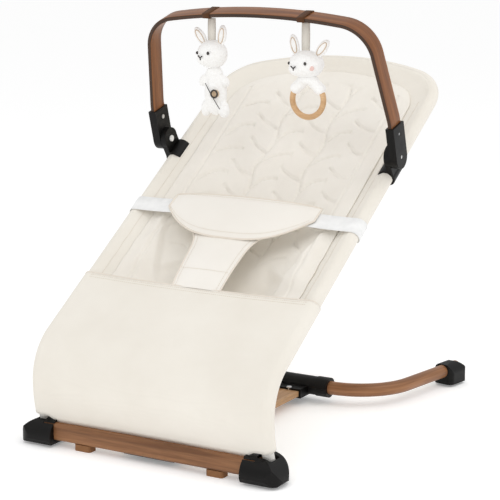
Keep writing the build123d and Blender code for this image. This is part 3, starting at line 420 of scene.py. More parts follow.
lean = math.radians(TOY_LEAN)
crown_angle = math.radians(TOY_CROWN)
strip_half = [(TOY_LEG_X, h) for h in np.linspace(0.3, TOY_BEND_H, 6)[:-1]]
strip_half += arc((TOY_LEG_X - TOY_LEAN_R, TOY_BEND_H), TOY_LEAN_R, 0, TOY_LEAN, 8)
foot = strip_half[-1]
strip_half += [
    (foot[0] - TOY_LEG_RUN * math.sin(lean) * k / 10, foot[1] + TOY_LEG_RUN * math.cos(lean) * k / 10)
    for k in range(1, 11)
]
knee = strip_half[-1]
corner_centre = (
    knee[0] - TOY_CORNER_R * math.cos(lean),
    knee[1] - TOY_CORNER_R * math.sin(lean),
)
strip_half += arc(corner_centre, TOY_CORNER_R, TOY_LEAN, 90 - TOY_CROWN, 22)[1:]
shoulder = strip_half[-1]
crown_r = shoulder[0] / math.sin(crown_angle)
crown_centre = shoulder[1] - crown_r * math.cos(crown_angle)
strip_half += arc((0, crown_centre), crown_r, 90 - TOY_CROWN, 90, 24)[1:]
strip_line = strip_half + [(-x, h) for x, h in reversed(strip_half[:-1])]
STRIP_BEVEL = 1.4
strip_section = rounded_box(STRIP_WIDE / 2, STRIP_THICK / 2, STRIP_BEVEL, 4)
strip_profile = [(a / 1000, b / 1000) for a, b in strip_section]
toy_strip = sweep_mesh(
    "toy_bar_strip", flat_stations(strip_line, toy_place, TOY_FORWARD), strip_profile
)
STRIP_WOOD = wood("strip_walnut", (0.140, 0.044, 0.010), (0.280, 0.104, 0.030), 0.42, "UV")
# Near-black copy of the strip's wood: painted shade for the front and back edges.
EDGE_WOOD_PAINTED_SHADE = wood("strip_edge_painted_shade", (0.030, 0.014, 0.007), (0.070, 0.032, 0.015), 0.45, "UV")
toy_strip.data.materials.append(STRIP_WOOD)
toy_strip.data.materials.append(EDGE_WOOD_PAINTED_SHADE)
# Faces turned to the front or back take the near-black wood, painted shade on the strip's edges.
for face in toy_strip.data.polygons:
    if abs(face.normal.dot(TOY_FORWARD)) > 0.8:
        face.material_index = 1
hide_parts("toy_bar")
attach(toy_strip, "toy_bar")

# ---- Cloth of the cover: sleeves on the hoop, front panel and sling ----
# Brushed cream cotton blend, sewn as one cover that slips over the hoop from the top.
# The front panel is stretched from tube to tube round the bend, and the sling sags behind it.
SLOPE_ORIGIN = Vector((0.0, -157.0, 208.0))
RAKE = math.radians(33)
SLOPE_UP = Vector((0, math.cos(RAKE), math.sin(RAKE)))
SLOPE_OUT = Vector((0, -math.sin(RAKE), math.cos(RAKE)))


def slope(x, s, lift):
    """Point x across, s up the slope and lift over the tubes' plane, in millimetres."""
    return (SLOPE_ORIGIN + Vector((x, 0, 0)) + SLOPE_UP * s + SLOPE_OUT * lift) / 1000


def weave_group():
    """Crossed threads and soft slubs of a plain woven cloth, as one height and one mask."""
    group = bpy.data.node_groups.new("weave", "ShaderNodeTree")
    group.interface.new_socket("Vector", in_out="INPUT", socket_type="NodeSocketVector")
    group.interface.new_socket("Height", in_out="OUTPUT", socket_type="NodeSocketFloat")
    group.interface.new_socket("Cloudy", in_out="OUTPUT", socket_type="NodeSocketFloat")
    come = group.nodes.new("NodeGroupInput")
    go = group.nodes.new("NodeGroupOutput")
    threads = []
    for direction in ("X", "Y"):
        wave = add_node(group, "ShaderNodeTexWave", wave_type="BANDS", bands_direction=direction)
        wave.inputs["Scale"].default_value = 420.0
        wave.inputs["Distortion"].default_value = 0.6
        wave.inputs["Detail"].default_value = 1.0
        group.links.new(come.outputs["Vector"], wave.inputs["Vector"])
        threads.append(wave.outputs["Fac"])
    cross = add_node(group, "ShaderNodeMath", operation="MULTIPLY")
    group.links.new(threads[0], cross.inputs[0])
    group.links.new(threads[1], cross.inputs[1])
    slub = texture_noise(group, come.outputs["Vector"], 260.0, 4.0)
    total = add_node(group, "ShaderNodeMath", operation="ADD")
    group.links.new(cross.outputs[0], total.inputs[0])
    group.links.new(slub, total.inputs[1])
    cloudy = texture_noise(group, come.outputs["Vector"], 9.0, 4.0)
    group.links.new(total.outputs[0], go.inputs["Height"])
    group.links.new(cloudy, go.inputs["Cloudy"])
    return group


WEAVE = weave_group()


def cloth(name, low, high, roughness=0.9, sheen=0.25, thread=0.00012, vector="Object"):
    material, tree, shader = new_material(name, high, roughness)
    coords = add_node(tree, "ShaderNodeTexCoord")
    weave = add_node(tree, "ShaderNodeGroup", node_tree=WEAVE)
    tree.links.new(coords.outputs[vector], weave.inputs["Vector"])
    shade = two_colours(tree, weave.outputs["Cloudy"], low, high, 0.3, 0.7)
    tree.links.new(shade, shader.inputs["Base Color"])
    add_bump(tree, shader, weave.outputs["Height"], thread, 0.6)
    shader.inputs["Sheen Weight"].default_value = sheen
    shader.inputs["Sheen Roughness"].default_value = 0.5
    shader.inputs["Specular IOR Level"].default_value = 0.2
    return material


COVER_CLOTH = cloth("cover_cotton", (0.80, 0.755, 0.675), (0.85, 0.81, 0.735))

TUBE_X = 177.4
COVER_R = 9.9
FRONT_Y = -281.0
BULGE_Z = 88.0
LOWER_R = 172.1
C_BEND_R = 72.7
COVER_LOW_Z = 45.0
HOOP_CORNER_S = 430.0
HOOP_CORNER_R = 65.5
HOOP_TURN = 70.0


def side_outline(lift, end_s, steps=26):
    """Side view of the tube's line, lifted outwards: points (y, z) from the low edge to end_s."""
    low_angle = math.degrees(math.asin((BULGE_Z - COVER_LOW_Z) / LOWER_R))
    lower = arc((FRONT_Y + LOWER_R, BULGE_Z), LOWER_R + lift, 180 + low_angle, 180, 10)
    bend = arc((FRONT_Y + C_BEND_R, BULGE_Z), C_BEND_R + lift, 180, 180 - 57, 20)[1:]
    start = bend[-1]
    finish = slope(0, end_s, lift) * 1000
    rise = [
        (start[0] + (finish.y - start[0]) * k / steps, start[1] + (finish.z - start[1]) * k / steps)
        for k in range(1, steps + 1)
    ]
    return lower + bend + rise


def crown_s(x):
    """How far up the slope the hoop's centre line is over x."""
    turn = math.radians(HOOP_TURN)
    corner_x = TUBE_X - HOOP_CORNER_R * (1 - math.cos(turn))
    radius = corner_x / math.cos(turn)
    middle_s = HOOP_CORNER_S + HOOP_CORNER_R * math.sin(turn) - radius * math.sin(turn)
    x = abs(x)
    if x <= corner_x:
        return middle_s + math.sqrt(radius**2 - x**2)
    inner = TUBE_X - HOOP_CORNER_R
    return HOOP_CORNER_S + math.sqrt(max(0.0, HOOP_CORNER_R**2 - (x - inner) ** 2))


crown_x = [TUBE_X * math.sin(math.pi / 2 * k / 40) for k in range(40, -41, -1)]
crown_line = [slope(x, crown_s(x), 0) for x in crown_x]
right_side = [Vector((TUBE_X, y, z)) / 1000 for y, z in side_outline(0, HOOP_CORNER_S, 60)]
left_side = [Vector((-p.x, p.y, p.z)) for p in right_side]
hoop_line = right_side + crown_line[1:-1] + left_side[::-1]


def tube_stations(line, first_side):
    """Stations that turn with a line without twisting."""
    found = []
    side = Vector(first_side)
    for i, centre in enumerate(line):
        ahead = (line[min(i + 1, len(line) - 1)] - line[max(i - 1, 0)]).normalized()
        side = (side - ahead * side.dot(ahead)).normalized()
        found.append((centre, side, ahead.cross(side).normalized()))
    return found


sleeve = sweep_mesh("sleeve_cloth", tube_stations(hoop_line, (1, 0, 0)), circle(0.0097, 28))
sleeve.data.materials.append(COVER_CLOTH)
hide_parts("cover_sleeve")
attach(sleeve, "seat")


def cloth_grid(name, rows):
    """Open sheet through rows of points."""
    columns = len(rows[0])
    points = [p for row in rows for p in row]
    faces = []
    for i in range(len(rows) - 1):
        for j in range(columns - 1):
            a = i * columns + j
            faces.append((a, a + 1, a + columns + 1, a + columns))
    return mesh_object(name, points, faces)


def thicken(piece, thickness, offset=0.0):
    """Gives a sheet its thickness as closed cloth."""
    solid = piece.modifiers.new("cloth", "SOLIDIFY")
    solid.thickness = thickness
    solid.offset = offset


# front panel: across each row it wraps from behind one tube to behind the other
HEM_S = 2.0
WRAP_R = 10.6
WRAP_DEGREES = 205
WRAP_STEPS = 22


def wrap(centre, out, side, degrees):
    """Points of the panel round one tube, from behind it to its front or back again."""
    found = []
    for a in np.radians(degrees):
        x = side * TUBE_X + WRAP_R * math.sin(a)
        found.append((centre + Vector((x, 0, 0)) + out * (WRAP_R * math.cos(a))) / 1000)
    return found


panel_rows = []
panel_side = side_outline(0, HEM_S, 26)
panel_front = side_outline(1, HEM_S, 26)
for i, ((y0, z0), (y1, z1)) in enumerate(zip(panel_side, panel_front)):
    centre = Vector((0, y0, z0))
    out = Vector((0, y1 - y0, z1 - z0)).normalized()
    along = i / (len(panel_side) - 1)
    row = []
    reach = max(0.0, 1 - i / 9) ** 1.5
    row += wrap(centre, out, -1, np.linspace(-WRAP_DEGREES, 0, WRAP_STEPS))
    for x in np.linspace(-TUBE_X, TUBE_X, 72)[1:-1]:
        pull = 1 - (x / TUBE_X) ** 2
        dip = pull * (2.0 + 3.0 * along**6)
        crease = 0.5 * noise.noise(Vector((x * 0.02, along * 3.2, 4.1))) * pull
        inner = min(1.0, max(0.0, (TUBE_X - 12 - abs(x)) / 18.0))
        drop = Vector((0, 4.2, -9.0)) * reach * (3 * inner**2 - 2 * inner**3)
        row.append((centre + Vector((x, 0, 0)) + out * (WRAP_R - dip + crease) + drop) / 1000)
    row += wrap(centre, out, 1, np.linspace(0, WRAP_DEGREES, WRAP_STEPS))
    panel_rows.append(row)
panel = cloth_grid("front_panel_cloth", panel_rows)
thicken(panel, 0.0012, 1.0)
panel.data.materials.append(COVER_CLOTH)
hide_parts("front_panel")
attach(panel, "seat")

# sling: leaves the tubes at a tangent and sags between them
SLING_SAG = 45.0
SLING_SAG_TOP = 2.0
SLING_TOP_S = 507.0
outline = np.array(
    [(TUBE_X, s) for s in np.linspace(-60, HOOP_CORNER_S, 200)]
    + [(x, crown_s(x)) for x in crown_x[1:-1]]
    + [(-TUBE_X, s) for s in np.linspace(HOOP_CORNER_S, -60, 200)]
)


def inward(x, s):
    """Distance inward from the hoop's centre line."""
    a, b = outline[:-1], outline[1:]
    ab = b - a
    t = np.clip(((np.array((x, s)) - a) * ab).sum(1) / (ab**2).sum(1), 0, 1)
    return float(np.sqrt(((a + ab * t[:, None] - (x, s)) ** 2).sum(1)).min())


def smooth_step(value, low, high):
    """Smooth step from 0 at low to 1 at high."""
    t = min(1.0, max(0.0, (value - low) / (high - low)))
    return t * t * (3 - 2 * t)


HOLLOW_X, HOLLOW_S = 66.0, 44.0
CREASE_X, CREASE_S = 103.0, 58.0


def seat_folds(x, s):
    """Slack of the cloth beside the crotch panel: a hollow under each leg and a fold outside it."""
    hollow = -15.0 * math.exp(-(((abs(x) - HOLLOW_X) / 34.0) ** 2) - ((s - HOLLOW_S) / 36.0) ** 2)
    crease_x = CREASE_X + 0.30 * (s - CREASE_S)
    near = smooth_step(s, 22, 55) * (1 - smooth_step(s, 128, 165))
    wing = 9.0 * smooth_step(abs(x), crease_x - 5.0, crease_x + 5.0)
    wing = wing * (1 - smooth_step(abs(x), 128, 150)) * near
    tuck = abs((s - CREASE_S) * 0.80 + (abs(x) - CREASE_X) * 0.60)
    fold = 3.0 * math.exp(-((tuck / 5.0) ** 2)) * math.exp(-(((abs(x) - 92) / 16.0) ** 2))
    ripple = 1.3 * math.sin(0.16 * s + 0.09 * abs(x)) * math.exp(-(((s - 70) / 45.0) ** 2))
    strength = 1.0 if x > 0 else 0.75
    return strength * (hollow + wing + fold + ripple * smooth_step(abs(x), 40, 70))


def sling_lift(x, s):
    """Height of the sling's upper face over the tubes' plane."""
    sag = SLING_SAG + (SLING_SAG_TOP - SLING_SAG) * max(0.0, s) / SLING_TOP_S
    base = -sag * max(0.0, 1 - (x / 167.5) ** 2)
    rise = math.exp(-((max(0.0, s) / 15.0) ** 2))
    base = (base + seat_folds(x, s) * smooth_step(s, 4, 22)) * (1 - 0.72 * rise)
    d = inward(x, s)
    if d < 5.7:
        return math.sqrt(COVER_R**2 - d**2)
    edge = math.exp(-(d - 5.7) / 15.0)
    return base * (1 - edge) + 8.1 * edge


sling_columns = [TUBE_X * math.sin(math.pi / 2 * k / 44) for k in range(-44, 45)]
sling_rows = []
for v in np.linspace(0, 1, 100):
    row = []
    for x in sling_columns:
        s = -1.0 + v * (crown_s(x) + 1.0)
        row.append(slope(x, s, sling_lift(x, s)))
    sling_rows.append(row)
sling = cloth_grid("sling_cloth", sling_rows)
thicken(sling, 0.0012, -1.0)
sling.data.materials.append(COVER_CLOTH)
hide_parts("seat_sling")
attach(sling, "seat")

# ---- Quilted liner ----
# A pad of polyester wadding between two cotton faces, sewn in rows of leaves along two stems
# with a plain border. It lies in the sling and is 8 mm thick where nothing is sewn.
LINER_X = 151.0
LINER_LOW_S = 6.0
LINER_INSET = 26.0
STEM_X = 41.0
LEAF_PITCH = 50.0
BORDER_X = 126.0


def leaf_seam(x, s):
    """Distance to the nearest sewn line of the leaf pattern."""
    best = 99.0
    for stem in (-3 * STEM_X, -STEM_X, STEM_X, 3 * STEM_X):
        wander = stem + 4.5 * math.sin(math.tau * s / (2 * LEAF_PITCH))
        dx = x - wander
        if abs(stem) < 2 * STEM_X:
            best = min(best, abs(dx))
        reach = abs(dx) / STEM_X
        if reach > 1.02:
            continue
        curve = 30.0 * reach**0.62 + 7.0 * math.sin(math.pi * reach) * (1 if dx > 0 else -1)
        steep = (18.6 * max(reach, 0.05) ** -0.38) / STEM_X
        offset = (s - curve) / LEAF_PITCH + (0.5 if dx > 0 else 0.0)
        gap = abs(offset - round(offset)) * LEAF_PITCH
        best = min(best, gap / math.sqrt(1 + steep**2))
    return best


def liner_thickness(x, s, top):
    """Thickness of the pad: rounded edge, plain border and sewn channels."""
    edge = min(LINER_X - abs(x), s - LINER_LOW_S, top - s)
    taper = min(LINER_X - abs(x), top - s)
    round_off = 1 - math.exp(-max(0.0, edge) / 3.5)
    round_off *= 0.30 + 0.70 * smooth_step(taper, 0.0, 30.0)
    border = abs(abs(x) - BORDER_X)
    sewn_top = top - 22.0
    channel = 1.0
    if s < sewn_top:
        channel -= 0.30 * math.exp(-((border / 2.0) ** 2))
    if abs(x) < BORDER_X and s < sewn_top:
        seam = leaf_seam(x, s)
        held = smooth_step(s, 82, 125) * smooth_step(BORDER_X - abs(x), 0, 14)
        held = held * smooth_step(sewn_top - s, 0, 22)
        pucker = 0.10 * math.sin(0.9 * s + 0.5 * x) * math.exp(-((seam / 6.0) ** 2))
        channel -= held * ((0.40 + pucker) * math.exp(-((seam / 2.5) ** 1.3)))
    lump = 1 + 0.16 * noise.noise(Vector((x * 0.03, s * 0.03, 1.7)))
    return 0.6 + 7.6 * round_off * channel * lump


def pad_mesh(name, top_rows, low_rows):
    """Closed pad from two grids of points that share their layout."""
    columns, count = len(top_rows[0]), len(top_rows)
    size = columns * count
    points = [p for row in top_rows for p in row] + [p for row in low_rows for p in row]
    faces = []
    for i in range(count - 1):
        for j in range(columns - 1):
            a = i * columns + j
            faces.append((a, a + 1, a + columns + 1, a + columns))
            faces.append((size + a, size + a + columns, size + a + columns + 1, size + a + 1))
    rim = list(range(columns))
    rim += [i * columns + columns - 1 for i in range(1, count)]
    rim += [(count - 1) * columns + j for j in range(columns - 2, -1, -1)]
    rim += [i * columns for i in range(count - 2, 0, -1)]
    for a, b in zip(rim, rim[1:] + rim[:1]):
        faces.append((a, size + a, size + b, b))
    return mesh_object(name, points, faces)


liner_columns = list(np.linspace(-LINER_X, LINER_X, 190))
liner_top, liner_low = [], []
for v in np.linspace(0, 1, 262):
    upper, lower = [], []
    for x in liner_columns:
        top = crown_s(min(abs(x) * (TUBE_X - 1) / LINER_X, TUBE_X - 1)) - LINER_INSET
        s = LINER_LOW_S + v * (top - LINER_LOW_S)
        rest = sling_lift(x, s) + 0.5
        crumple = 1.3 * noise.noise(Vector((x * 0.03, s * 0.03, 7.7)))
        crumple += 0.5 * noise.noise(Vector((x * 0.09, s * 0.05, 2.2)))
        upper.append(slope(x, s, rest + crumple + 1 + liner_thickness(x, s, top)))
        lower.append(slope(x, s, rest))
    liner_top.append(upper)
    liner_low.append(lower)
liner = pad_mesh("quilted_liner", liner_top, liner_low)
LINER_CLOTH = cloth("liner_cotton", (0.82, 0.775, 0.70), (0.88, 0.84, 0.77), sheen=0.3)
liner.data.materials.append(LINER_CLOTH)
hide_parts("seat_liner")
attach(liner, "seat")

# ---- Bib and crotch panel ----
# Two padded pads of the same cotton, piped round the edge. The bib crosses the tummy between
# the straps, and the crotch panel runs down from it and is sewn into the hem.
BIB_X = 119.0
BIB_TOP_S = 177.0


def bib_low_s(x):
    return 94.0 + 52.0 * (abs(x) / BIB_X) ** 2.8


def bib_lift(x, s):
    """Height of the bib's middle, arched over the tummy and drawn down to the straps."""
    return 15.5 + 5.0 * (1 - (x / BIB_X) ** 2) - 3.0 * ((s - 140) / 40) ** 2


def crotch_half(s):
    """Half the panel's width: it flares into the bib at the top."""
    return 38.0 + 0.07 * s + 20.0 * math.exp(-(((s - 126) / 26.0) ** 2))


def crotch_lift(x, s):
    return 7.6 + 0.075 * s - 1.5 * (x / 45.0) ** 2 + 1.2 * math.sin(s / 22.0)


def lens(u, v, thick):
    """Crowned thickness of a stuffed pad: u and v run from 0 to 1 across it."""
    across, along = min(u, 1 - u) * 2, min(v, 1 - v) * 2
    return thick * (1 - (1 - across) ** 4) * (1 - (1 - along) ** 4)


def stuffed(name, point, half_thick, columns, rows):
    """Closed stuffed pad and its rim: point(u, v, d) is the middle point shifted out by d."""
    upper, lower = [
        [
            [point(u, v, way * (lens(u, v, half_thick) + 0.1)) for u in np.linspace(0, 1, columns)]
            for v in np.linspace(0, 1, rows)
        ]
        for way in (1, -1)
    ]
    size = rows * columns
    edge = [
        i
        for i in range(size)
        if i % columns in (0, columns - 1) or i // columns in (0, rows - 1)
    ]
    return pad_mesh(name, upper, lower), edge + [i + size for i in edge]


def bib_point(u, v, shift=0.0):
    x = BIB_X * (2 * u - 1)
    low = bib_low_s(x)
    high = BIB_TOP_S - 3.5 * (abs(x) / BIB_X) ** 6
    s = low + (high - low) * v
    return slope(x, s, bib_lift(x, s) + shift)


def crotch_point(u, v, shift=0.0):
    s = 0.5 + 121.0 * v
    x = crotch_half(s) * (2 * u - 1) - 2.0
    return slope(x, s, crotch_lift(x, s) + shift)


SWELL_STEPS = 18


def inflate(piece, rim, pressure, cap):
    """Lets the stuffed pad swell with its sewn rim held. No point ends further off than cap."""
    before = np.array([v.co for v in piece.data.vertices])
    held = piece.vertex_groups.new(name="rim")
    held.add(rim, 1.0, "REPLACE")
    swell = piece.modifiers.new("swell", "CLOTH")
    swell.settings.vertex_group_mass = "rim"
    swell.settings.use_pressure = True
    swell.settings.uniform_pressure_force = pressure
    swell.settings.effector_weights.gravity = 0.0
    swell.settings.tension_stiffness = 20
    swell.settings.compression_stiffness = 20
    swell.settings.bending_stiffness = 1.0
    for step in range(1, SWELL_STEPS + 1):
        bpy.context.scene.frame_set(step)
    bpy.context.view_layer.objects.active = piece
    bpy.ops.object.modifier_apply(modifier=swell.name)
    bpy.context.scene.frame_set(1)
    move = np.array([v.co for v in piece.data.vertices]) - before
    length = np.linalg.norm(move, axis=1, keepdims=True)
    move *= np.minimum(1.0, cap / np.maximum(length, 1e-9))
    piece.data.vertices.foreach_set("co", (before + move).astype(np.float32).ravel())
    piece.data.update()
    piece.vertex_groups.clear()


def finer(piece, levels=1):
    smooth = piece.modifiers.new("finer", "SUBSURF")
    smooth.levels = levels
    smooth.render_levels = levels


BIB_CLOTH = cloth("bib_cotton", (0.85, 0.81, 0.745), (0.89, 0.855, 0.795), sheen=0.3)
bib, bib_rim = stuffed("waist_bib", bib_point, 3.4, 90, 34)
inflate(bib, bib_rim, 3.0, 0.0035)
bib.data.materials.append(BIB_CLOTH)
finer(bib)
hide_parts("waist_belt")
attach(bib, "seat")

crotch, crotch_rim = stuffed("crotch_pad", crotch_point, 2.4, 40, 56)
inflate(crotch, crotch_rim, 2.5, 0.002)
crotch.data.materials.append(BIB_CLOTH)
finer(crotch)
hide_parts("crotch_panel")
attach(crotch, "seat")

PIPING_CLOTH = cloth("piping_cotton", (0.76, 0.69, 0.60), (0.81, 0.745, 0.66))


def piping(name, line, radius, closed=False):
    """Thin covered cord sewn along an edge."""
    if closed:
        line = line + line[:3]
    made = sweep_mesh(name, tube_stations(line, (0, 0, 1)), circle(radius, 8))
    made.data.materials.append(PIPING_CLOTH)
    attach(made, "seat")
    return made


bib_edge = [bib_point(u, 0) for u in np.linspace(0, 1, 90)]
bib_edge += [bib_point(1, v) for v in np.linspace(0, 1, 10)[1:]]
bib_edge += [bib_point(u, 1) for u in np.linspace(1, 0, 90)[1:]]
bib_edge += [bib_point(0, v) for v in np.linspace(1, 0, 10)[1:-1]]
piping("bib_piping", bib_edge, 0.0015, closed=True)
piping("crotch_piping_left", [crotch_point(0, v) for v in np.linspace(0, 1, 60)], 0.0014)
piping("crotch_piping_right", [crotch_point(1, v) for v in np.linspace(0, 1, 60)], 0.0014)
hem_line = [panel_rows[-1][j] + SLOPE_OUT * 0.0009 for j in range(len(panel_rows[-1]))]
piping("hem_piping", hem_line[8:-8], 0.0011)

# ---- Straps ----
# White polypropylene webbing, 28 mm wide and 1.2 mm thick, sewn under the bib's wings.
# Each goes out over the sleeved tube, round it and back to its slider behind the seat.
STRAP_S = 151.0
STRAP_WIDE = 28.0
STRAP_THICK = 1.2
STRAP_MID = 11.0
STRAP_INNER_X = 96.0
STRAP_INNER_LIFT = 13.6
STRAP_RETURN = 59.4


def webbing(name):
    material, tree, shader = new_material(name, (0.90, 0.90, 0.89), 0.6)
    coords = add_node(tree, "ShaderNodeTexCoord")
    ribs = add_node(tree, "ShaderNodeTexWave", wave_type="BANDS", bands_direction="X")
    ribs.inputs["Scale"].default_value = 210.0
    ribs.inputs["Distortion"].default_value = 0.4
    tree.links.new(coords.outputs["UV"], ribs.inputs["Vector"])
    cloudy = texture_noise(tree, coords.outputs["UV"], 60.0, 3.0)
    shade = two_colours(tree, cloudy, (0.84, 0.84, 0.83), (0.93, 0.93, 0.92))
    tree.links.new(shade, shader.inputs["Base Color"])
    add_bump(tree, shader, ribs.outputs["Fac"], 0.00025, 0.7)
    shader.inputs["Sheen Weight"].default_value = 0.1
    return material


WEBBING = webbing("strap_webbing")
for side, side_name in ((-1, "left"), (1, "right")):
    line = []
    for x in np.linspace(STRAP_INNER_X, TUBE_X - 2, 22):
        t = (x - STRAP_INNER_X) / (TUBE_X - 2 - STRAP_INNER_X)
        lift = STRAP_INNER_LIFT + (STRAP_MID - STRAP_INNER_LIFT) * t - 1.2 * math.sin(math.pi * t)
        line.append((x, lift))
    line += [
        (TUBE_X + STRAP_MID * math.sin(math.radians(a)), STRAP_MID * math.cos(math.radians(a)))
        for a in np.linspace(4, 176, 22)
    ]
    for d in np.linspace(2, STRAP_RETURN, 14):
        line.append((TUBE_X - d, -STRAP_MID - 12.0 * d / STRAP_RETURN))
    stations = []
    for i, (x, lift) in enumerate(line):
        centre = slope(side * x, STRAP_S, lift)
        a = line[max(i - 1, 0)]
        b = line[min(i + 1, len(line) - 1)]
        ahead = Vector((side * (b[0] - a[0]), 0, 0)) + SLOPE_OUT * (b[1] - a[1])
        up = ahead.normalized().cross(SLOPE_UP)
        stations.append((centre, SLOPE_UP.copy(), up))
    half = STRAP_WIDE / 2000
    thin = STRAP_THICK / 2000
    edge = [(-half, 0), (-half + 0.0004, -thin), (half - 0.0004, -thin), (half, 0)]
    edge += [(half - 0.0004, thin), (-half + 0.0004, thin)]
    strap = sweep_mesh(f"strap_webbing_{side_name}", stations, edge)
    turn_outward(strap)
    strap.data.materials.append(WEBBING)
    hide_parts(f"strap_{side_name}")
    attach(strap, "seat")

# ---- Toys' ribbons ----
# Woven ribbon, 12 mm wide: a thin brown loop round the strip, and a doubled cream length below
# it that holds the rabbit and swings in the loop.
RIBBON_CLOTH = cloth("ribbon_weave", (0.66, 0.62, 0.55), (0.78, 0.745, 0.68), sheen=0.1)
LEFT_X = -75.0
RIGHT_X = 78.0
RIBBON_WIDE = 12.0
RIBBON_THICK = 0.8
LOOP_OFF = 0.66
LOOP_THICK = 0.48
LOOP_CORNER_R = 1.8


def flat_profile(wide, thick):
    """Section of a flat band, in metres from millimetres."""
    half, thin = wide / 2000, thick / 2000
    return [(-half, -thin), (half, -thin), (half, thin), (-half, thin)]


def strip_height(x):
    """Height of the strip's middle over x."""
    return crown_centre + math.sqrt(crown_r**2 - x**2)


LOOP_CLOTH = cloth("loop_weave", (0.060, 0.024, 0.010), (0.120, 0.052, 0.022), sheen=0.05)


def ribbon_loop(name, x, node):
    middle_h = strip_height(x)
    path = rounded_box(STRIP_WIDE / 2 + LOOP_OFF, STRIP_THICK / 2 + LOOP_OFF, LOOP_CORNER_R, 5)
    centres = [
        (TOY_ORIGIN + Vector((x, 0, 0)) + TOY_FORWARD * a + TOY_UP * (middle_h + b)) / 1000
        for a, b in path
    ]
    stations = []
    for i, centre in enumerate(centres):
        ahead = (centres[(i + 1) % len(centres)] - centres[i - 1]).normalized()
        stations.append((centre, Vector((1, 0, 0)), ahead.cross(Vector((1, 0, 0)))))
    profile = flat_profile(RIBBON_WIDE, LOOP_THICK)
    loop = sweep_mesh(name, stations, profile, closed_path=True)
    turn_outward(loop)
    loop.data.materials.append(LOOP_CLOTH)
    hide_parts(node)
    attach(loop, "toy_bar")


ribbon_loop("loop_left", LEFT_X, "ribbon_loop_left")
ribbon_loop("loop_right", RIGHT_X, "ribbon_loop_right")


def hanging_ribbon(name, node, body):
    """Two lengths of ribbon lying together, a little apart in the middle."""
    low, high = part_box(node)
    x = (low.x + high.x) / 2
    y = (low.y + high.y) / 2
    parts = []
    for side in (-1, 1):
        line = []
        for t in np.linspace(0, 1, 16):
            z = high.z - (high.z - low.z + 0.004) * t
            line.append(Vector((x, y + side * (0.0005 + 0.0006 * math.sin(math.pi * t)), z)))
        stations = [(p, Vector((1, 0, 0)), Vector((0, 1, 0))) for p in line]
        profile = flat_profile(RIBBON_WIDE, RIBBON_THICK)
        parts.append(sweep_mesh(f"{name}_{side}", stations, profile))
    band = join_all(parts, name)
    band.data.materials.append(RIBBON_CLOTH)
    turn_outward(band)
    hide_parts(node)
    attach(band, body)


hanging_ribbon("ribbon_band_left", "ribbon_left", "toy_left")
hanging_ribbon("ribbon_band_right", "ribbon_right", "toy_right")

# ---- Plush rabbits ----
# White fleece over soft filling. Heads, bodies and paws are sewn from rounded panels, the ears
# are flat with a tan lining seam, and the faces are embroidered.
FLEECE, fleece_tree, fleece_shader = new_material("white_fleece", (0.93, 0.92, 0.90), 0.95)
fleece_coords = add_node(fleece_tree, "ShaderNodeTexCoord")
curl = texture_noise(fleece_tree, fleece_coords.outputs["Object"], 420.0, 5.0, 0.7)
fleece_shade = two_colours(fleece_tree, curl, (0.88, 0.865, 0.84), (0.95, 0.945, 0.93), 0.35, 0.6)
fleece_tree.links.new(fleece_shade, fleece_shader.inputs["Base Color"])
add_bump(fleece_tree, fleece_shader, curl, 0.0006, 0.7)
fleece_shader.inputs["Sheen Weight"].default_value = 0.5
fleece_shader.inputs["Sheen Roughness"].default_value = 0.6
LINING = cloth("ear_lining", (0.60, 0.47, 0.35), (0.70, 0.57, 0.45))
THREAD, thread_tree, thread_shader = new_material("dark_thread", (0.035, 0.028, 0.025), 0.5)
thread_coords = add_node(thread_tree, "ShaderNodeTexCoord")
twist = texture_noise(thread_tree, thread_coords.outputs["Object"], 1600.0, 2.0)
add_bump(thread_tree, thread_shader, twist, 0.0001, 0.6)
BLUSH = cloth("blush_felt", (0.80, 0.55, 0.50), (0.86, 0.62, 0.57))


def blob(balls, name, voxel=0.0011, smooth=6):
    """One soft form from ellipsoids (centre, size, turn about Y), in millimetres."""
    bm = bmesh.new()
    for centre, size, turn in balls:
        made = bmesh.ops.create_icosphere(bm, subdivisions=4, radius=0.5)
        a = math.radians(turn)
        for v in made["verts"]:
            x, y, z = v.co.x * size[0], v.co.y * size[1], v.co.z * size[2]
            v.co = (
                (centre[0] + x * math.cos(a) + z * math.sin(a)) / 1000,
                (centre[1] + y) / 1000,
                (centre[2] - x * math.sin(a) + z * math.cos(a)) / 1000,
            )
    mesh = bpy.data.meshes.new(name)
    bm.to_mesh(mesh)
    bm.free()
    made = bpy.data.objects.new(name, mesh)
    bpy.context.scene.collection.objects.link(made)
    bpy.context.view_layer.objects.active = made
    remesh = made.modifiers.new("remesh", "REMESH")
    remesh.mode = "VOXEL"
    remesh.voxel_size = voxel
    bpy.ops.object.modifier_apply(modifier=remesh.name)
    relax = made.modifiers.new("relax", "SMOOTH")
    relax.factor = 0.6
    relax.iterations = smooth
    bpy.ops.object.modifier_apply(modifier=relax.name)
    for v in made.data.vertices:
        push = noise.noise(v.co * 260.0) * 0.00035 + noise.noise(v.co * 90.0) * 0.0004
        v.co += v.normal * push
    made.data.shade_smooth()
    return made


def finish_toy(piece, material, slot, body, *replaced):
    piece.data.materials.clear()
    piece.data.materials.append(material)
    if replaced:
        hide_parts(*replaced)
    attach(piece, body)
    return piece


def middle_of(node):
    low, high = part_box(node)
    return (low + high) * 500


def on_head(centre, size, dx, dz, out=0.0):
    """Point on a head's front, dx across and dz up from its middle."""
    rest = max(0.0, 1 - (2 * dx / size[0]) ** 2 - (2 * dz / size[2]) ** 2)
    return Vector((centre.x + dx, centre.y - size[1] / 2 * math.sqrt(rest) - out, centre.z + dz))


def thread_line(name, points, radius):
    line = [p / 1000 for p in points]
    return sweep_mesh(name, tube_stations(line, (0, -1, 0)), circle(radius / 1000, 8))


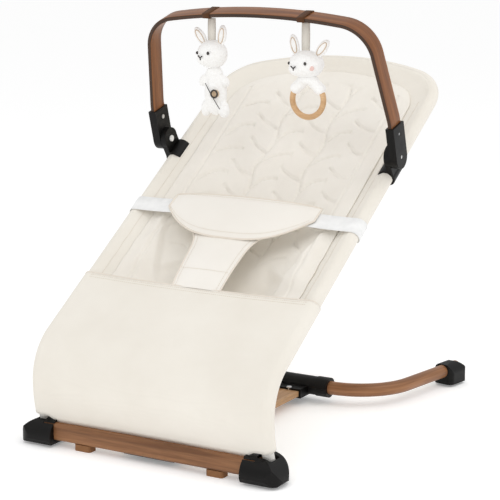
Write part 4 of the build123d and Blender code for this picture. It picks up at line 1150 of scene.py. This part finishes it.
def face_of(centre, size, body, name, eyes, nose):
    """Embroidered eyes and a Y-shaped nose."""
    made = []
    for i, (dx, dz) in enumerate(eyes):
        p = on_head(centre, size, dx, dz, -0.3)
        made.append(blob([(p, (4.4, 2.2, 5.0), 0)], f"{name}_eye_{i}", 0.0004, 1))
    nx, nz = nose
    left, right = [
        [
            on_head(centre, size, nx + way * 4.5 * (1 - t), nz + 2.6 * (1 - t) ** 1.4, 0.2)
            for t in np.linspace(0, 1, 8)
        ]
        for way in (-1, 1)
    ]
    stem = [on_head(centre, size, nx, nz - 3.4 * t, 0.2) for t in np.linspace(0, 1, 6)]
    for k, line in enumerate((left, right, stem)):
        made.append(thread_line(f"{name}_nose_{k}", line, 0.85))
    finish_toy(join_all(made, f"{name}_face"), THREAD, "plush", body)


def ears_of(head, ears, body, name, node):
    """Flat ears with a lining seam: each is its base offset, lean and height."""
    balls, seams = [], []
    for x, z, tilt in ears:
        base = Vector((head.x + x, head.y, head.z + z))
        a = math.radians(tilt)
        up = Vector((math.sin(a), 0, math.cos(a)))
        centre = base + up * 11
        balls.append((centre, (15.0, 6.6, 31), tilt))
        side = Vector((math.cos(a), 0, -math.sin(a)))
        loop = []
        for t in np.linspace(0, math.tau, 26):
            across, along = 3.9 * math.sin(t), 11.0 * math.cos(t)
            depth = 3.3 * math.sqrt(max(0.0, 1 - (across / 6.7) ** 2 - (along / 15.5) ** 2))
            loop.append(centre + side * across + up * along + Vector((0, -depth - 0.05, 0)))
        seams.append(thread_line(f"{name}_lining_{len(seams)}", loop, 0.75))
    finish_toy(blob(balls, f"{name}_ears", 0.0008, 3), FLEECE, "ear_cloth", body, node)
    finish_toy(join_all(seams, f"{name}_ear_seams"), LINING, "ear_cloth", body)


LEFT_HEAD = middle_of("rabbit_left_head")
LEFT_SIZE = (46.0, 38.0, 42.0)
left_muzzle = LEFT_HEAD + Vector((-7, -7, -6))
head = blob([(LEFT_HEAD, LEFT_SIZE, 0), (left_muzzle, (27, 22, 22), 0)], "left_head")
finish_toy(head, FLEECE, "plush", "toy_left", "rabbit_left_head")
face_of(LEFT_HEAD, (46.0, 42.0, 42.0), "toy_left", "left", ((4.5, 3.0), (-18.0, 2.0)), (-9.5, -4.0))
ears_of(LEFT_HEAD, ((-13, 16, -38), (14, 16, 10)), "toy_left", "left", "rabbit_left_ears")
TOY_Y = 5.4
body_balls = [
    ((-71, TOY_Y, 491), (26, 22, 22), 0),
    ((-69, TOY_Y, 464), (34, 29, 66), 0),
    ((-83, TOY_Y - 1, 441.5), (17, 16, 26), 12),
    ((-55, TOY_Y - 1, 440.5), (17, 16, 26), -12),
    ((-87, TOY_Y - 2, 481), (14, 13, 19), 35),
    ((-53, TOY_Y - 2, 481), (14, 13, 19), -35),
]
finish_toy(blob(body_balls, "left_body"), FLEECE, "plush", "toy_left", "rabbit_left_body")
BUTTON_AT = middle_of("rabbit_left_button")
BUTTON_WOOD = wood("button_beech", (0.50, 0.36, 0.23), (0.68, 0.52, 0.36), 0.45)
dress(["rabbit_left_button"], BUTTON_WOOD)
rim_line = [
    BUTTON_AT + Vector((5.2 * math.cos(t), -2.6, 5.2 * math.sin(t)))
    for t in np.linspace(0, math.tau, 40)
]
rim = thread_line("button_rim", rim_line, 1.3)
stitch_a = [
    Vector((-77 + 24 * t, TOY_Y - 15.4 - 1.2 * math.sin(math.pi * t), 478 - 36 * t))
    for t in np.linspace(0, 1, 20)
]
sewn = thread_line("button_thread", stitch_a, 0.6)
finish_toy(join_all([rim, sewn], "button_stitching"), THREAD, "plush", "toy_left")

RIGHT_HEAD = middle_of("rabbit_right_head")
RIGHT_SIZE = (52.0, 42.0, 39.0)
right_muzzle = RIGHT_HEAD + Vector((-8, -8, -6))
head = blob([(RIGHT_HEAD, RIGHT_SIZE, 0), (right_muzzle, (30, 24, 21), 0)], "right_head")
finish_toy(head, FLEECE, "plush", "toy_right", "rabbit_right_head")
face_of(RIGHT_HEAD, (52.0, 45.0, 39.0), "toy_right", "right", ((8.5, 2.5), (-21.0, 1.5)), (-10.5, -4.5))
cheek = on_head(RIGHT_HEAD, (52.0, 44.0, 39.0), 16.0, -4.0, -0.9)
finish_toy(blob([(cheek, (9, 2.6, 7), 0)], "right_cheek", 0.0005, 2), BLUSH, "plush", "toy_right")
ears_of(RIGHT_HEAD, ((-16.5, 15, -14), (17.5, 14, 40)), "toy_right", "right", "rabbit_right_ears")
RING_AT = Vector((82.0, TOY_Y, 462.1))
arm_balls = [((82, TOY_Y, 489.5), (34, 22, 15), 0)]
for sign in (-1, 1):
    for angle, size in ((66, 15.5), (52, 16.5), (40, 17.0)):
        a = math.radians(angle)
        at = RING_AT + Vector((sign * 24.5 * math.cos(a), 0, 24.5 * math.sin(a)))
        arm_balls.append((at, (size, size, size), 0))
finish_toy(blob(arm_balls, "right_arms"), FLEECE, "plush", "toy_right", "rabbit_right_arms")

# ---- Stitches ----
# Lock stitches of cream thread: two rows below the hem, a row inside the bib's lower edge and one
# inside its upper edge, one across the crotch panel and one down each side of it, and a row down each
# side of the sling by the tubes. One tree lays them along any line.
def stitch_tree():
    tree = bpy.data.node_groups.new("lay_stitches", "GeometryNodeTree")
    face = tree.interface
    face.new_socket("Geometry", in_out="INPUT", socket_type="NodeSocketGeometry")
    face.new_socket("Pitch", in_out="INPUT", socket_type="NodeSocketFloat")
    face.new_socket("Length", in_out="INPUT", socket_type="NodeSocketFloat")
    face.new_socket("Thread", in_out="INPUT", socket_type="NodeSocketFloat")
    face.new_socket("Finish", in_out="INPUT", socket_type="NodeSocketMaterial")
    face.new_socket("Geometry", in_out="OUTPUT", socket_type="NodeSocketGeometry")
    come = tree.nodes.new("NodeGroupInput")
    go = tree.nodes.new("NodeGroupOutput")
    to_curve = tree.nodes.new("GeometryNodeMeshToCurve")
    resample = tree.nodes.new("GeometryNodeResampleCurve")
    resample.mode = "LENGTH"
    stitch = tree.nodes.new("GeometryNodeMeshUVSphere")
    stitch.inputs["Segments"].default_value = 6
    stitch.inputs["Rings"].default_value = 4
    shape = tree.nodes.new("ShaderNodeCombineXYZ")
    transform = tree.nodes.new("GeometryNodeTransform")
    tangent = tree.nodes.new("GeometryNodeInputTangent")
    align = tree.nodes.new("FunctionNodeAlignRotationToVector")
    place = tree.nodes.new("GeometryNodeInstanceOnPoints")
    real = tree.nodes.new("GeometryNodeRealizeInstances")
    colour = tree.nodes.new("GeometryNodeSetMaterial")
    link = tree.links.new
    link(come.outputs["Geometry"], to_curve.inputs["Mesh"])
    link(to_curve.outputs["Curve"], resample.inputs["Curve"])
    link(come.outputs["Pitch"], resample.inputs["Length"])
    link(come.outputs["Thread"], shape.inputs["X"])
    link(come.outputs["Thread"], shape.inputs["Y"])
    link(come.outputs["Length"], shape.inputs["Z"])
    link(stitch.outputs["Mesh"], transform.inputs["Geometry"])
    link(shape.outputs["Vector"], transform.inputs["Scale"])
    link(tangent.outputs["Tangent"], align.inputs["Vector"])
    link(resample.outputs["Curve"], place.inputs["Points"])
    link(transform.outputs["Geometry"], place.inputs["Instance"])
    link(align.outputs["Rotation"], place.inputs["Rotation"])
    link(place.outputs["Instances"], real.inputs["Geometry"])
    link(real.outputs["Geometry"], colour.inputs["Geometry"])
    link(come.outputs["Finish"], colour.inputs["Material"])
    link(colour.outputs["Geometry"], go.inputs["Geometry"])
    return tree


STITCHES = stitch_tree()
SEWING = cloth("sewing_thread", (0.66, 0.58, 0.48), (0.74, 0.66, 0.56), thread=0.00003)


def sew(name, lines, body, material=SEWING, pitch=0.0032, length=0.0013, thread=0.00032):
    """Stitches along several lines of points, made one plain mesh."""
    points, edges = [], []
    for line in lines:
        start = len(points)
        points += [tuple(p) for p in line]
        edges += [(start + i, start + i + 1) for i in range(len(line) - 1)]
    mesh = bpy.data.meshes.new(name + "_line")
    mesh.from_pydata(points, edges, [])
    guide = bpy.data.objects.new(name + "_line", mesh)
    bpy.context.scene.collection.objects.link(guide)
    laid = guide.modifiers.new("stitches", "NODES")
    laid.node_group = STITCHES
    values = {"Pitch": pitch, "Length": length, "Thread": thread, "Finish": material}
    for item in STITCHES.interface.items_tree:
        if item.in_out == "INPUT" and item.name in values:
            laid[item.identifier] = values[item.name]
    bpy.context.view_layer.update()
    evaluated = guide.evaluated_get(bpy.context.evaluated_depsgraph_get())
    made = bpy.data.objects.new(name, bpy.data.meshes.new_from_object(evaluated))
    bpy.context.scene.collection.objects.link(made)
    bpy.data.objects.remove(guide)
    made.data.shade_smooth()
    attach(made, body)
    return made


def lifted(points, way, distance):
    return [p + way * distance for p in points]


hem_rows = []
for back_rows in (2, 3):
    row = panel_rows[-back_rows]
    hem_rows.append(lifted(row[WRAP_STEPS:-WRAP_STEPS], SLOPE_OUT, 0.0013))
sew("hem_stitches", hem_rows, "seat")
bib_row = [bib_point(0.5 + (u - 0.5) * 0.95, 0.09, 3.1) for u in np.linspace(0, 1, 80)]
top_row = [bib_point(0.5 + (u - 0.5) * 0.95, 0.91, 3.1) for u in np.linspace(0, 1, 80)]
sew("bib_stitches", [bib_row, top_row], "seat")
cross = [crotch_point(u, 0.26, 2.9) for u in np.linspace(0.04, 0.96, 30)]
side_a = [crotch_point(0.07, v, 1.6) for v in np.linspace(0.02, 0.9, 60)]
side_b = [crotch_point(0.93, v, 1.6) for v in np.linspace(0.02, 0.9, 60)]
sew("crotch_stitches", [cross, side_a, side_b], "seat")
sling_seams = []
for side in (-1, 1):
    seam_x = TUBE_X - 14
    seam = [slope(side * seam_x, s, sling_lift(seam_x, s) + 0.3) for s in np.linspace(4, 425, 220)]
    sling_seams.append(seam)
sew("sleeve_stitches", sling_seams, "seat")
